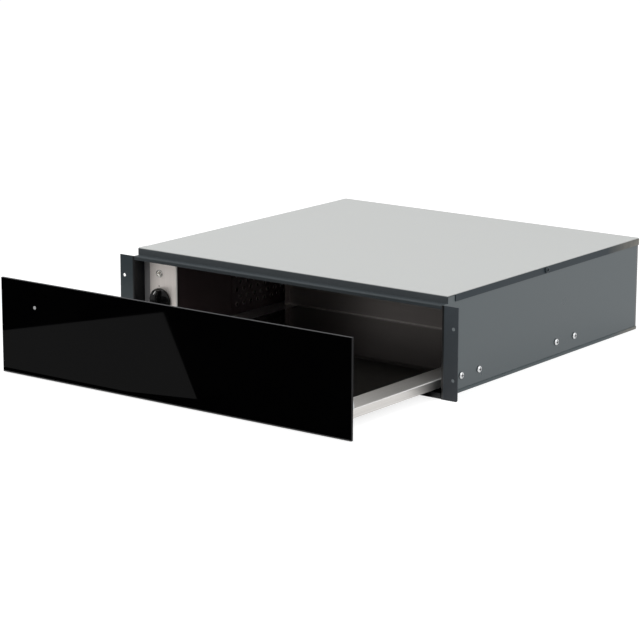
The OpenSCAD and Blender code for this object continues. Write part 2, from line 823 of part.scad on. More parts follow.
module bridge2d() {
    intersection() {
        translate([-24, -6]) square([48, 12]);
        circle(r = 24);
    }
    circle(r = 8);
}

// Shaft from the motor to the impeller's hub
module fan_shaft() {
    color([0.8, 0.8, 0.8]) translate([0, fan_y, fan_z]) along_x(duct_x - 24, box_x - 6) circle(r = 2);
}

// Impeller: back plate, hub, front ring and forward-curved blades
module fan_impeller() {
    r = impeller_d / 2;
    x0 = duct_x + 4;
    color([0.7, 0.7, 0.72]) translate([0, fan_y, fan_z]) {
        along_x(x0, x0 + 1) difference() {
            circle(r = r);
            circle(r = 2);
        }
        along_x(x0, x0 + 10) difference() {
            circle(r = 6);
            circle(r = 2);
        }
        along_x(x0 + 1 - eps, x0 + impeller_w) for (i = [0 : blade_count - 1])
            rotate(360 * i / blade_count) blade2d(r);
        along_x(x0 + impeller_w - 1, x0 + impeller_w) difference() {
            circle(r = r);
            circle(r = r - 8);
        }
    }
}

// One blade, an arc between the ring's inner and outer radius
module blade2d(r) {
    intersection() {
        translate([r - 4, -6]) difference() {
            circle(r = 7.4);
            circle(r = 6.6);
        }
        difference() {
            circle(r = r - 0.2);
            circle(r = r - 8);
        }
        translate([0, -3]) square([r + 1, 12]);
    }
}

// ---- supply ----

module terminal_block() {
    color([0.9, 0.89, 0.85]) translate([gland_x - 17, back_inner - 62, sheet]) difference() {
        union() {
            cube([34, 22, 3]);
            translate([1, 3, 0]) cube([32, 16, 16]);
        }
        for (i = [0 : 2]) translate([7 + 10 * i, 11, 8]) cylinder(r = 3, h = 10);
        for (i = [0 : 2]) translate([7 + 10 * i, -1, 8]) rotate([-90, 0, 0]) cylinder(r = 2.2, h = 26);
    }
}

// Cable gland through the back panel, empty
module cable_gland() {
    color([0.12, 0.12, 0.12]) translate([gland_x, web_back, gland_z]) rotate([-90, 0, 0])
        difference() {
            union() {
                cylinder(r = 11.5, h = 4, $fn = 6);
                translate([0, 0, 3]) cylinder(r1 = 9.5, r2 = 8, h = 8);
                translate([0, 0, -14]) cylinder(r = 8, h = 15);
                translate([0, 0, -5 - sheet]) cylinder(r = 11.5, h = 5, $fn = 6);
            }
            translate([0, 0, -20]) cylinder(r = 4.2, h = 50);
        }
}

// ---- push-open latch ----

latch_x = tray_mid;
latch_z = tray_z + 40;
plunger_r = 4;
plunger_travel = 4;
latch_front = tray_rear + run + plunger_travel + 0.5;

module latch_body() {
    color([0.2, 0.2, 0.21]) difference() {
        union() {
            block([latch_x - 11, latch_front, latch_z - 9], [latch_x + 11, back_inner, latch_z + 9]);
            block([latch_x - 24, back_inner - 3, latch_z - 9], [latch_x + 24, back_inner, latch_z + 9]);
        }
        translate([latch_x, latch_front - 1, latch_z]) rotate([-90, 0, 0])
            cylinder(r = plunger_r + 0.08, h = 19);
    }
}

module latch_plunger() {
    color([0.85, 0.85, 0.85]) translate([latch_x, tray_rear + run, latch_z]) rotate([-90, 0, 0])
        rotate_extrude() {
            translate([0, 1]) square([plunger_r, 15 + plunger_travel - 5]);
            square([plunger_r - 1, 2]);
            translate([plunger_r - 1, 1]) circle(r = 1);
        }
}

// ---- screws and rivets of the case ----

module case_screws() {
    color([0.8, 0.8, 0.8]) {
        for (y = side_screw_ys) translate([side_x, y, runner_screw_z]) rotate([0, 90, 0])
            pan_screw(case_screw_len, screw_head, screw_head_h);
        for (z = left_screw_zs) translate([-side_x, fascia_y + 14, z]) rotate([0, -90, 0])
            pan_screw(case_screw_len, screw_head, screw_head_h);
        for (y = left_rivet_ys) translate([partition_x + shelf_t, y, rivet_z]) rotate([0, 90, 0])
            rivet();
    }
}

// Flat rivet through the bracket and the partition
module rivet() {
    translate([0, 0, -sheet - shelf_t - 1]) cylinder(r = 2.6, h = 1);
    translate([0, 0, -sheet - shelf_t - 0.5]) cylinder(r = 1.5, h = sheet + shelf_t + 0.5);
    cylinder(r = 2.6, h = 0.7);
}

module cover_screws() {
    color(charcoal) {
        for (x = cover_screw_xs) translate([x, case_d, cover_screw_z]) rotate([-90, 0, 0])
            pan_screw(case_screw_len, screw_head, screw_head_h);
        for (side = [-1, 1]) translate([side * (side_x + sheet), cover_screw_y, cover_screw_z])
            rotate([0, side * 90, 0]) pan_screw(case_screw_len, screw_head, screw_head_h);
    }
}

// ---- drawer ----

module drawer_pose() {
    translate([0, -drawer_open, 0]) children();
}

plate_x0 = tray_left + tray_margin;
plate_x1 = tray_right - tray_margin;
plate_y0 = backing_rear + 14;
plate_y1 = tray_rear - 2 * tray_sheet;

// Tray of satin steel: side skirts, a recess for the glass plate and a front upstand
module drawer_tray() {
    rear = tray_rear - tray_sheet;
    t = tray_sheet;
    color(satin_steel) drawer_pose() difference() {
        union() {
            along_y(backing_rear, rear) translate([tray_mid, tray_z])
                channel2d(tray_w, tray_skirt, t, t + 0.4);
            block([plate_x0 - t, plate_y0 - t, recess_z - t], [plate_x1 + t, plate_y1 + t, tray_z]);
            block([tray_left + 20, backing_rear, tray_z - t], [tray_right - 20, backing_rear + t, tray_z + 30]);
        }
        block([plate_x0, plate_y0, recess_z], [plate_x1, plate_y1, tray_z + 1]);
        for (x = front_screw_xs) hole_y(2 * (screw_r + fit), x, backing_rear, front_screw_z);
    }
}

// Black glass plate let into the tray's floor
module tray_glass_plate() {
    color([0.03, 0.03, 0.035]) drawer_pose()
        block([plate_x0 + run, plate_y0 + run, recess_z], [plate_x1 - run, plate_y1 - run, tray_z]);
}

// Back panel of the tray with its side folds and a top fold
module tray_back_panel() {
    t = tray_sheet;
    half = tray_w / 2 - back_inset;
    color([0.5, 0.47, 0.45]) drawer_pose() {
        block([tray_mid - half, tray_rear - t, tray_under], [tray_mid + half, tray_rear, tray_z + back_h]);
        block([plate_x0 - t, tray_rear - t, recess_z - t], [plate_x1 + t, tray_rear, tray_z]);
        for (side = [-1, 1]) translate([tray_mid, tray_rear, tray_z]) scale([side, -1, 1])
            translate([half - t, 0, 0]) cube([t, back_fold, back_h]);
        block([tray_mid - half, tray_rear - 7, tray_z + back_h - t], [tray_mid + half, tray_rear, tray_z + back_h]);
    }
}

front_screw_xs = [for (i = [-1 : 1]) tray_mid + i * tray_w / 3];
front_screw_z = tray_z + 20;
bracket_screw_in = 11;                          // from the tray's edge
bracket_screw_xs = [tray_left + bracket_screw_in, tray_right - bracket_screw_in];
bracket_screw_zs = [tray_z + 0.3 * bracket_h, tray_z + 0.74 * bracket_h];
bracket_t = 1.5;
bracket_foot_w = 16;
bracket_flange_w = 19;
nut_boss_r = 5;
nut_boss_h = backing_rear - backing_y - 4;

// Bracket that ties the front to the tray: side plate, foot and front flange
module front_bracket(side) {
    edge = side > 0 ? tray_right : tray_left;
    low = tray_z;
    color(zinc) drawer_pose() translate([edge, backing_rear, low]) scale([-side, 1, 1])
        difference() {
            union() {
                translate([bracket_t, 0, 0]) rotate([90, 0, -90]) scale([-1, 1, 1])
                    linear_extrude(bracket_t) bracket2d();
                cube([bracket_foot_w, bracket_foot, bracket_t]);
                cube([bracket_flange_w, bracket_t, bracket_h]);
            }
            for (z = bracket_screw_zs) translate([bracket_screw_in, 0, z - low]) rotate([90, 0, 0])
                cylinder(r = screw_r + fit, h = 8, center = true);
        }
}

module bracket2d() {
    polygon([[0, 0], [bracket_foot, 0], [bracket_foot, 3], [bracket_head, bracket_h - 4],
             [bracket_head - 4, bracket_h], [0, bracket_h]]);
}

module left_front_bracket() front_bracket(-1);
module right_front_bracket() front_bracket(1);

backing_t = 1.2;
backing_x = side_x + backing_reach;
backing_z0 = glass_z + glass_overhang_z;
backing_z1 = glass_z + glass_h - glass_overhang_z;
window_px = -glass_w / 2 + window_x;
window_pz = glass_z + glass_h - window_drop;

// Folded steel tray behind the glass
module front_backing() {
    color([0.12, 0.12, 0.13]) drawer_pose() difference() {
        union() {
            difference() {
                block([-backing_x, backing_y, backing_z0], [backing_x, backing_rear, backing_z1]);
                block([-backing_x + backing_t, backing_y - 1, backing_z0 + backing_t],
                      [backing_x - backing_t, backing_rear - backing_t, backing_z1 - backing_t]);
            }
            for (x = front_screw_xs) weld_nut(x, front_screw_z);
            for (z = bracket_screw_zs) for (x = bracket_screw_xs) weld_nut(x, z);
            translate([window_px, backing_y, window_pz]) rotate([-90, 0, 0])
                cylinder(d = window_d + 4, h = backing_rear - backing_y);
        }
        hole_through_front(window_d);
        for (x = front_screw_xs) screw_well(x, front_screw_z);
        for (z = bracket_screw_zs) for (x = bracket_screw_xs) screw_well(x, z);
    }
}

module hole_through_front(d) {
    translate([window_px, -front_t - 1, window_pz]) rotate([-90, 0, 0]) cylinder(d = d, h = front_t + 4);
}

module weld_nut(x, z) {
    translate([x, backing_rear - nut_boss_h, z]) rotate([-90, 0, 0]) cylinder(r = nut_boss_r, h = nut_boss_h);
}

module screw_well(x, z) {
    translate([x, backing_rear - nut_boss_h + 1, z]) rotate([-90, 0, 0])
        cylinder(r = screw_r + fit, h = nut_boss_h);
}

module front_glass() {
    color([0.01, 0.01, 0.012]) drawer_pose() difference() {
        block([-glass_w / 2, -front_t, glass_z], [glass_w / 2, backing_y, glass_z + glass_h]);
        hole_through_front(window_d);
    }
}

// Clear rod that shows the pilot lamp through the front
module indicator_window() {
    color([0.95, 0.95, 0.95]) drawer_pose() translate([window_px, -front_t, window_pz])
        rotate([-90, 0, 0]) cylinder(d = window_d - 0.04, h = front_t + backing_rear);
}

module front_bumpers() {
    color([0.08, 0.08, 0.08]) drawer_pose()
        for (side = [-1, 1]) for (z = [backing_z0 + 12, backing_z1 - 12])
            translate([side * (side_x + backing_x) / 2, backing_rear, z])
                rotate([-90, 0, 0]) bumper();
}

module bumper() {
    rotate_extrude() {
        square([bumper_d / 2, bumper_t - 1]);
        square([bumper_d / 2 - 1, bumper_t]);
        translate([bumper_d / 2 - 1, bumper_t - 1]) circle(r = 1);
    }
}

module front_screws() {
    color([0.8, 0.8, 0.8]) drawer_pose() {
        for (x = front_screw_xs)
            translate([x, backing_rear + tray_sheet, front_screw_z]) rotate([-90, 0, 0])
                pan_screw(front_screw_len, front_screw_head, front_screw_head_h);
        for (z = bracket_screw_zs) for (x = bracket_screw_xs)
            translate([x, backing_rear + bracket_t, z]) rotate([-90, 0, 0])
                pan_screw(front_screw_len, front_screw_head, front_screw_head_h);
    }
}

// ---- knob ----

knob_skirt = 3;         // height of the knob's straight rim
knob_dome = 8;          // height of the dome without the grip
grip_w = 9;
grip_arc = 20.5;        // radius of the grip's ends, about the middle of the knob's base

// Domed knob with an upright grip across it, hollow over the clamping nut
module knob() {
    r = knob_d / 2;
    rise = knob_dome - knob_skirt;
    dome_arc = (r * r + rise * rise) / (2 * rise);
    color([0.05, 0.05, 0.05]) translate([knob_x, fascia_y - 2 * run, knob_z]) rotate([90, 0, 0])
        difference() {
            union() {
                rotate_extrude() intersection() {
                    translate([0, knob_dome - dome_arc]) circle(r = dome_arc);
                    square([r, knob_dome]);
                }
                intersection() {
                    rotate_extrude() intersection() {
                        circle(r = grip_arc);
                        square([r - 1.5, knob_h]);
                    }
                    translate([-grip_w / 2, -r, 0]) cube([grip_w, knob_d, knob_h]);
                }
            }
            translate([0, 0, -1]) cylinder(r = nut_across / 2 + 1, h = nut_h + 2);
            translate([0, 0, -1]) cylinder(r = spindle_r, h = spindle_grip + 1);
        }
}

spindle_grip = knob_h - 6;      // how far the spindle reaches into the knob

module knob_spindle() {
    color([0.8, 0.8, 0.8]) translate([knob_x, fascia_y - 2 * run - spindle_grip, knob_z])
        rotate([-90, 0, 0]) cylinder(r = spindle_r, h = spindle_grip + 12);
}

base_pan();
left_side_panel();
right_side_panel();
back_panel();
top_cover();
front_top_rail();
partition();
hot_air_grille();
chamber_ceiling();
insulation_mat();
control_fascia();
fascia_bracket();
pilot_lamp_holder();
pilot_lens();
thermostat_body();
thermostat_nut();
sensor_bulb();
left_runner_bracket();
right_runner_bracket();
left_runner_outer();
right_runner_outer();
heater_box();
heater_element();
thermal_cutout();
fan_housing();
fan_motor();
terminal_block();
cable_gland();
latch_body();
case_screws();
cover_screws();
left_runner_middle();
right_runner_middle();
left_lower_cage();
right_lower_cage();
left_upper_cage();
right_upper_cage();
left_runner_inner();
right_runner_inner();
drawer_tray();
tray_back_panel();
tray_glass_plate();
left_front_bracket();
right_front_bracket();
front_backing();
front_glass();
indicator_window();
front_bumpers();
front_screws();
knob();
knob_spindle();
latch_plunger();
fan_impeller();
fan_shaft();
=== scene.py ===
import math
import bmesh
import bpy
from mathutils import Matrix, Vector


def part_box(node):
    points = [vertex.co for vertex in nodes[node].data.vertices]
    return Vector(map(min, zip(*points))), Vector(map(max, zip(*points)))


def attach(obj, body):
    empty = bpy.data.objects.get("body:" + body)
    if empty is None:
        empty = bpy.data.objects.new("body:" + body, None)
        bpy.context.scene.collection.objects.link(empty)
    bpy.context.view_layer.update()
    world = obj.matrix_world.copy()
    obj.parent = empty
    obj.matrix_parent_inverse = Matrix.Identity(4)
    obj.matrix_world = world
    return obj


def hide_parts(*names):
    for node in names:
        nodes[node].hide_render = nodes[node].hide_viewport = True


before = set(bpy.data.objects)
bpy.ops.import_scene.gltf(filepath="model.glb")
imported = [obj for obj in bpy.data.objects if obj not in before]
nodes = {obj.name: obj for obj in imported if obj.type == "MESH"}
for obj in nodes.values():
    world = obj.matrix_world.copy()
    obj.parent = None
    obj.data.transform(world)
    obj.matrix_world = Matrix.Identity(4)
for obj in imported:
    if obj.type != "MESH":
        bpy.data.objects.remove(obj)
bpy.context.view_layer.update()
print("frame loaded:", len(nodes), "nodes")


# the camera stands where the photograph was taken from

view = {
    "place": (2.07496, -2.69242, 0.85312),
    "yaw": 36.7126,             # degrees to the left of +Y
    "down": 12.9591,            # degrees below the horizon
    "roll": 0.1604,
    "lens": 141.75,             # mm
    "sensor": 36,               # mm wide
    "farthest": 50,
}

cameraData = bpy.data.cameras.new("photoCamera")
cameraData.lens = view["lens"]
cameraData.sensor_width = view["sensor"]
cameraData.clip_end = view["farthest"]
camera = bpy.data.objects.new("photoCamera", cameraData)
bpy.context.scene.collection.objects.link(camera)
turned = (Matrix.Rotation(math.radians(view["yaw"]), 4, "Z")
          @ Matrix.Rotation(math.radians(90 - view["down"]), 4, "X")
          @ Matrix.Rotation(math.radians(view["roll"]), 4, "Z"))
camera.matrix_world = Matrix.Translation(view["place"]) @ turned
bpy.context.scene.camera = camera
print("camera set")


# short ways to make the nodes that the finishes are built from

def feed(tree, socket, value):
    # a socket takes another node's output, or a fixed number or colour
    if isinstance(value, bpy.types.NodeSocket):
        tree.links.new(value, socket)
    else:
        socket.default_value = value


def newGroup(name, inputs, outputs):
    group = bpy.data.node_groups.new(name, "ShaderNodeTree")
    for label, kind, value in inputs:
        socket = group.interface.new_socket(name=label, in_out="INPUT", socket_type=kind)
        if value is not None:
            socket.default_value = value
    for label, kind in outputs:
        group.interface.new_socket(name=label, in_out="OUTPUT", socket_type=kind)
    return group, group.nodes.new("NodeGroupInput"), group.nodes.new("NodeGroupOutput")


def mathNode(tree, operation, first, second):
    node = tree.nodes.new("ShaderNodeMath")
    node.operation = operation
    feed(tree, node.inputs[0], first)
    feed(tree, node.inputs[1], second)
    return node.outputs[0]


def noiseNode(tree, vector, scale, detail=3, rough=0.5):
    node = tree.nodes.new("ShaderNodeTexNoise")
    for label, value in (("Vector", vector), ("Scale", scale), ("Detail", detail),
                         ("Roughness", rough)):
        feed(tree, node.inputs[label], value)
    return node.outputs["Fac"]


def rangeNode(tree, value, low, high, newLow, newHigh):
    node = tree.nodes.new("ShaderNodeMapRange")
    for label, end in (("Value", value), ("From Min", low), ("From Max", high),
                       ("To Min", newLow), ("To Max", newHigh)):
        feed(tree, node.inputs[label], end)
    return node.outputs["Result"]


def mixColour(tree, factor, first, second):
    node = tree.nodes.new("ShaderNodeMix")
    node.data_type = "RGBA"
    for label, value in (("Factor", factor), ("A", first), ("B", second)):
        feed(tree, node.inputs[label], value)
    return node.outputs["Result"]


def bumpNode(tree, height, strength, distance):
    node = tree.nodes.new("ShaderNodeBump")
    for label, value in (("Height", height), ("Strength", strength), ("Distance", distance)):
        feed(tree, node.inputs[label], value)
    return node.outputs["Normal"]


grain = {
    "fineShare": 0.6, "broadShare": 0.4,
    "range": (0.3, 0.7),
    "distance": 0.00005,
}


def grainGroup():
    # lines of a brushed or rolled sheet: the vector comes in already stretched along them
    tree, start, end = newGroup(
        "brushedGrain",
        [("Vector", "NodeSocketVector", None), ("Fine", "NodeSocketFloat", 1.0),
         ("Broad", "NodeSocketFloat", 0.12), ("Depth", "NodeSocketFloat", 0.3)],
        [("Lines", "NodeSocketFloat"), ("Normal", "NodeSocketVector")])
    fine = noiseNode(tree, start.outputs["Vector"], start.outputs["Fine"], 4, 0.6)
    broad = noiseNode(tree, start.outputs["Vector"], start.outputs["Broad"], 2, 0.5)
    both = mathNode(tree, "ADD", mathNode(tree, "MULTIPLY", fine, grain["fineShare"]),
                    mathNode(tree, "MULTIPLY", broad, grain["broadShare"]))
    feed(tree, end.inputs["Lines"], rangeNode(tree, both, *grain["range"], 0.0, 1.0))
    feed(tree, end.inputs["Normal"], bumpNode(tree, fine, start.outputs["Depth"], grain["distance"]))
    return tree


speckle = {
    "range": (0.3, 0.7),
    "distance": 0.0001,
}


def mottleGroup():
    # slow patches and a fine speckle, for paint, plastic and cast surfaces
    tree, start, end = newGroup(
        "mottle",
        [("Vector", "NodeSocketVector", None), ("Patch", "NodeSocketFloat", 9.0),
         ("Speckle", "NodeSocketFloat", 700.0), ("Depth", "NodeSocketFloat", 0.15)],
        [("Patches", "NodeSocketFloat"), ("Specks", "NodeSocketFloat"), ("Normal", "NodeSocketVector")])
    patches = noiseNode(tree, start.outputs["Vector"], start.outputs["Patch"], 3, 0.5)
    specks = noiseNode(tree, start.outputs["Vector"], start.outputs["Speckle"], 2, 0.5)
    feed(tree, end.inputs["Patches"], rangeNode(tree, patches, *speckle["range"], 0.0, 1.0))
    feed(tree, end.inputs["Specks"], rangeNode(tree, specks, *speckle["range"], 0.0, 1.0))
    feed(tree, end.inputs["Normal"], bumpNode(tree, specks, start.outputs["Depth"], speckle["distance"]))
    return tree


brushedGrain = grainGroup()
mottle = mottleGroup()


def startMaterial(name):
    material = bpy.data.materials.new(name)
    material.use_nodes = True
    tree = material.node_tree
    shader = tree.nodes["Principled BSDF"]
    place = tree.nodes.new("ShaderNodeTexCoord").outputs["Object"]
    return material, tree, shader, place


def placeGroup(tree, group, vector, **values):
    node = tree.nodes.new("ShaderNodeGroup")
    node.node_tree = group
    tree.links.new(vector, node.inputs["Vector"])
    for label, value in values.items():
        node.inputs[label].default_value = value
    return node


def paint(name, colour, patch, rough, peel, specular, patchSize=7.0):
    # sprayed or powder-coated sheet
    material, tree, shader, place = startMaterial(name)
    group = placeGroup(tree, mottle, place, Patch=patchSize, Speckle=900.0, Depth=peel)
    patches = group.outputs["Patches"]
    feed(tree, shader.inputs["Base Color"], mixColour(tree, patches, colour + (1,), patch + (1,)))
    feed(tree, shader.inputs["Roughness"], rangeNode(tree, patches, 0, 1, rough[0], rough[1]))
    feed(tree, shader.inputs["Normal"], group.outputs["Normal"])
    shader.inputs["Specular IOR Level"].default_value = specular
    return material, tree, shader, place


def brushed(name, dark, light, stretch, rough, metal, depth):
    # brushed or drawn metal, its lines running where stretch is small
    material, tree, shader, place = startMaterial(name)
    mapping = tree.nodes.new("ShaderNodeMapping")
    mapping.inputs["Scale"].default_value = stretch
    feed(tree, mapping.inputs["Vector"], place)
    group = placeGroup(tree, brushedGrain, mapping.outputs["Vector"], Depth=depth)
    lines = group.outputs["Lines"]
    feed(tree, shader.inputs["Base Color"], mixColour(tree, lines, dark + (1,), light + (1,)))
    feed(tree, shader.inputs["Roughness"], rangeNode(tree, lines, 0, 1, rough[1], rough[0]))
    feed(tree, shader.inputs["Normal"], group.outputs["Normal"])
    shader.inputs["Metallic"].default_value = metal
    return material, tree, shader, place


def moulded(name, colour, patch, rough, relief=0.3, specular=0.5, patchSize=40.0, specks=1500.0):
    # moulded plastic or rubber with a fine tool grain
    material, tree, shader, place = startMaterial(name)
    group = placeGroup(tree, mottle, place, Patch=patchSize, Speckle=specks, Depth=relief)
    feed(tree, shader.inputs["Base Color"],
         mixColour(tree, group.outputs["Patches"], colour + (1,), patch + (1,)))
    feed(tree, shader.inputs["Roughness"],
         rangeNode(tree, group.outputs["Specks"], 0, 1, rough[0], rough[1]))
    feed(tree, shader.inputs["Normal"], group.outputs["Normal"])
    shader.inputs["Specular IOR Level"].default_value = specular
    return material, tree, shader, place


def smooth(name, colour, patch, rough, metal=0.0, through=0.0, ior=1.5, patchSize=15.0):
    # polished glass, chrome or clear plastic: only faint patches
    material, tree, shader, place = startMaterial(name)
    group = placeGroup(tree, mottle, place, Patch=patchSize, Speckle=300.0, Depth=0.0)
    patches = group.outputs["Patches"]
    feed(tree, shader.inputs["Base Color"], mixColour(tree, patches, colour + (1,), patch + (1,)))
    feed(tree, shader.inputs["Roughness"], rangeNode(tree, patches, 0, 1, rough[0], rough[1]))
    shader.inputs["Metallic"].default_value = metal
    shader.inputs["Transmission Weight"].default_value = through
    shader.inputs["IOR"].default_value = ior
    return material, tree, shader, place


def fedBy(node, label):
    # what feeds one of a node's inputs so far
    return node.inputs[label].links[0].from_socket


def axisMask(tree, place, axis, low, high):
    # 0 below low and 1 above high along one axis of the object
    split = tree.nodes.new("ShaderNodeSeparateXYZ")
    tree.links.new(place, split.inputs[0])
    return rangeNode(tree, split.outputs[axis], low, high, 0.0, 1.0)


# the finishes; a piece that changes from place to place has a dictionary of its own, in metres

paints = {      # colour, patch, roughness, peel, specular, patch size
    "casePaint": ((0.037, 0.057, 0.066), (0.043, 0.064, 0.073), (0.26, 0.34), 0.10, 0.68),
    # the left side's paint: the case paint made darker, as painted shade
    "leftPaint": ((0.034, 0.050, 0.058), (0.040, 0.057, 0.065), (0.26, 0.34), 0.10, 0.45),
    "panPaint": ((0.052, 0.074, 0.082), (0.058, 0.080, 0.088), (0.3, 0.4), 0.10, 0.35),
    "railPaint": ((0.046, 0.056, 0.062), (0.052, 0.062, 0.068), (0.5, 0.58), 0.10, 0.2),
    "insidePaint": ((0.052, 0.034, 0.036), (0.061, 0.041, 0.043), (0.3, 0.42), 0.12, 0.6),
    "coverFinish": ((0.086, 0.098, 0.106), (0.094, 0.107, 0.115), (0.36, 0.46), 0.08, 0.22),
    "screwPaint": ((0.026, 0.038, 0.047), (0.032, 0.045, 0.053), (0.36, 0.46), 0.08, 0.22),
    "bracketPaint": ((0.26, 0.26, 0.265), (0.32, 0.315, 0.32), (0.3, 0.42), 0.1, 0.6),
    "motorVarnish": ((0.10, 0.10, 0.11), (0.20, 0.18, 0.17), (0.35, 0.55), 0.3, 0.5, 60.0),
    "backingPaint": ((0.010, 0.010, 0.011), (0.014, 0.014, 0.015), (0.35, 0.5), 0.12, 0.4),
}
metals = {      # dark lines, light lines, stretch, roughness, metallic, depth
    "traySteel": ((0.54, 0.52, 0.50), (0.70, 0.685, 0.66), (900, 6, 900), (0.35, 0.46), 0.83, 0.15),
    "backSteel": ((0.235, 0.212, 0.203), (0.262, 0.238, 0.226), (14, 900, 900), (0.3, 0.36), 0.85, 0.05),
    "fasciaSteel": ((0.85, 0.79, 0.75), (0.97, 0.905, 0.86), (900, 900, 8), (0.36, 0.48), 0.72, 0.15),
    "zincSteel": ((0.38, 0.39, 0.40), (0.55, 0.56, 0.58), (60, 60, 60), (0.3, 0.45), 1.0, 0.15),
    "runnerSteel": ((0.45, 0.46, 0.47), (0.66, 0.67, 0.68), (900, 8, 900), (0.2, 0.35), 1.0, 0.2),
    "shaftSteel": ((0.5, 0.5, 0.5), (0.7, 0.7, 0.7), (8, 900, 900), (0.2, 0.3), 1.0, 0.2),
    "darkSteel": ((0.10, 0.09, 0.08), (0.20, 0.17, 0.14), (80, 20, 80), (0.35, 0.5), 1.0, 0.2),
    "copper": ((0.45, 0.24, 0.14), (0.62, 0.36, 0.22), (300, 20, 300), (0.25, 0.4), 1.0, 0.2),
    "impellerAlloy": ((0.5, 0.5, 0.51), (0.68, 0.68, 0.7), (40, 200, 200), (0.25, 0.4), 1.0, 0.2),
    # the grille's lips: lighter than the paint round them, painted highlights
    "grilleLip": ((0.30, 0.25, 0.25), (0.38, 0.33, 0.33), (300, 300, 300), (0.3, 0.4), 0.6, 0.1),
}
polished = {    # colour, patch, roughness, metallic, transmission, refraction, patch size
    "brightSteel": ((0.66, 0.66, 0.66), (0.80, 0.80, 0.80), (0.12, 0.22), 1.0, 0.0, 1.5, 200.0),
    "screwZinc": ((0.58, 0.59, 0.60), (0.70, 0.71, 0.72), (0.22, 0.32), 0.9, 0.0, 1.5, 300.0),
    "chrome": ((0.86, 0.85, 0.83), (0.93, 0.92, 0.90), (0.06, 0.14), 0.85, 0.0, 1.5, 150.0),
    "frontGlassBlack": ((0.0008, 0.0008, 0.0010), (0.0012, 0.0012, 0.0014), (0.03, 0.04)),
    "trayGlassBlack": ((0.012, 0.011, 0.010), (0.015, 0.014, 0.013), (0.03, 0.06)),
    "clearLens": ((0.95, 0.94, 0.90), (0.98, 0.97, 0.94), (0.05, 0.12), 0.0, 0.1, 1.49),
    "windowClear": ((0.86, 0.88, 0.88), (0.93, 0.94, 0.94), (0.1, 0.2), 0.0, 0.25, 1.49),
}
mouldings = {   # colour, patch, roughness, relief, specular, patch size, specks
    # dark for the printed dot on the fascia, and painted shade in the screw heads
    "recessDark": ((0.012, 0.012, 0.013), (0.02, 0.02, 0.02), (0.5, 0.6), 0.1, 0.2),
    "glassEdge": ((0.004, 0.004, 0.005), (0.006, 0.006, 0.007), (0.5, 0.6), 0.1, 0.12),
    "blackMoulding": ((0.014, 0.014, 0.014), (0.022, 0.022, 0.022), (0.35, 0.5)),
    "knobPlastic": ((0.003, 0.003, 0.003), (0.006, 0.006, 0.006), (0.14, 0.22), 0.08, 0.2),
    "greyMoulding": ((0.60, 0.60, 0.59), (0.68, 0.68, 0.67), (0.3, 0.45), 0.2),
    "terminalPlastic": ((0.66, 0.62, 0.55), (0.74, 0.71, 0.64), (0.4, 0.55), 0.3),
    "bumperRubber": ((0.015, 0.015, 0.015), (0.024, 0.024, 0.024), (0.6, 0.8), 0.4),
    "woolMat": ((0.55, 0.50, 0.36), (0.72, 0.68, 0.54), (0.9, 1.0), 1.0, 0.1, 60.0, 500.0),
    "markWhite": ((0.70, 0.70, 0.68), (0.78, 0.78, 0.76), (0.4, 0.55), 0.1),
}
finishes = {}
for make, table in ((paint, paints), (brushed, metals), (smooth, polished), (moulded, mouldings)):
    for name, values in table.items():
        finishes[name] = make(name, *values)

# right side and back: a pale cut edge at the rear, painted shade on the rim round the opening, and painted
# shade on the flange, darkest at its foot
caseLook = {
    "rearEdge": (0.5118, 0.5126),           # along Y
    "rearColour": (0.085, 0.09, 0.095, 1),
    "forward": (0.0015, 0.0010),            # Y, faces in front of this look forward
    "rim": (0.2714, 0.2710),                # X, inside this
    "rightHalf": (0.0, 0.001),
    "rimShadeColour": (0.006, 0.006, 0.007, 1),
    "flange": (0.2714, 0.2718),             # X, outside this
    "flangeRise": (0.0, 0.12),              # Z, over which it grows paler
    "flangeLow": (0.002, 0.004, 0.009, 1),
    "flangeHigh": (0.034, 0.044, 0.055, 1),
    "flangeShare": 0.9,
    "flangeRough": 0.62,
}
tree, shader, place = finishes["casePaint"][1:]
rearEdge = axisMask(tree, place, "Y", *caseLook["rearEdge"])
edged = mixColour(tree, rearEdge, fedBy(shader, "Base Color"), caseLook["rearColour"])
forward = axisMask(tree, place, "Y", *caseLook["forward"])
opening = mathNode(tree, "MULTIPLY", axisMask(tree, place, "X", *caseLook["rim"]),
                   axisMask(tree, place, "X", *caseLook["rightHalf"]))
# the front faces inside the opening are painted dark: painted shade
rim = mathNode(tree, "MULTIPLY", forward, opening)
flange = mathNode(tree, "MULTIPLY", forward, axisMask(tree, place, "X", *caseLook["flange"]))
# the flange is painted darker towards its foot: painted shade
flangeShade = mixColour(tree, axisMask(tree, place, "Z", *caseLook["flangeRise"]), caseLook["flangeLow"],
                    caseLook["flangeHigh"])
edged = mixColour(tree, mathNode(tree, "MULTIPLY", flange, caseLook["flangeShare"]), edged, flangeShade)
feed(tree, shader.inputs["Base Color"], mixColour(tree, rim, edged, caseLook["rimShadeColour"]))
feed(tree, shader.inputs["Roughness"],
     rangeNode(tree, flange, 0, 1, fedBy(shader, "Roughness"), caseLook["flangeRough"]))

# the left side is the case paint made darker as painted shade, and its inner face and the bend of its
# flange are painted darker still as shade, since they see none of the light
leftLook = {
    "behind": (0.0025, 0.0035),             # Y, behind the front faces
    "outside": (-0.2674, -0.2678),          # X, the outer face
    "flange": (-0.2702, -0.2706),           # X, the flange
    "shade": (0.009, 0.010, 0.011, 1),
}
tree, shader, place = finishes["leftPaint"][1:]
outside = mathNode(tree, "MULTIPLY", axisMask(tree, place, "Y", *leftLook["behind"]),
                   axisMask(tree, place, "X", *leftLook["outside"]))
lit = mathNode(tree, "MAXIMUM", outside, axisMask(tree, place, "X", *leftLook["flange"]))
feed(tree, shader.inputs["Base Color"],
     mixColour(tree, lit, leftLook["shade"], fedBy(shader, "Base Color")))

wear = {
    "colour": (0.200, 0.192, 0.168, 1),
    "patchScale": 60.0,
    "patches": (0.2, 0.6),
    "least": 0.55,
}


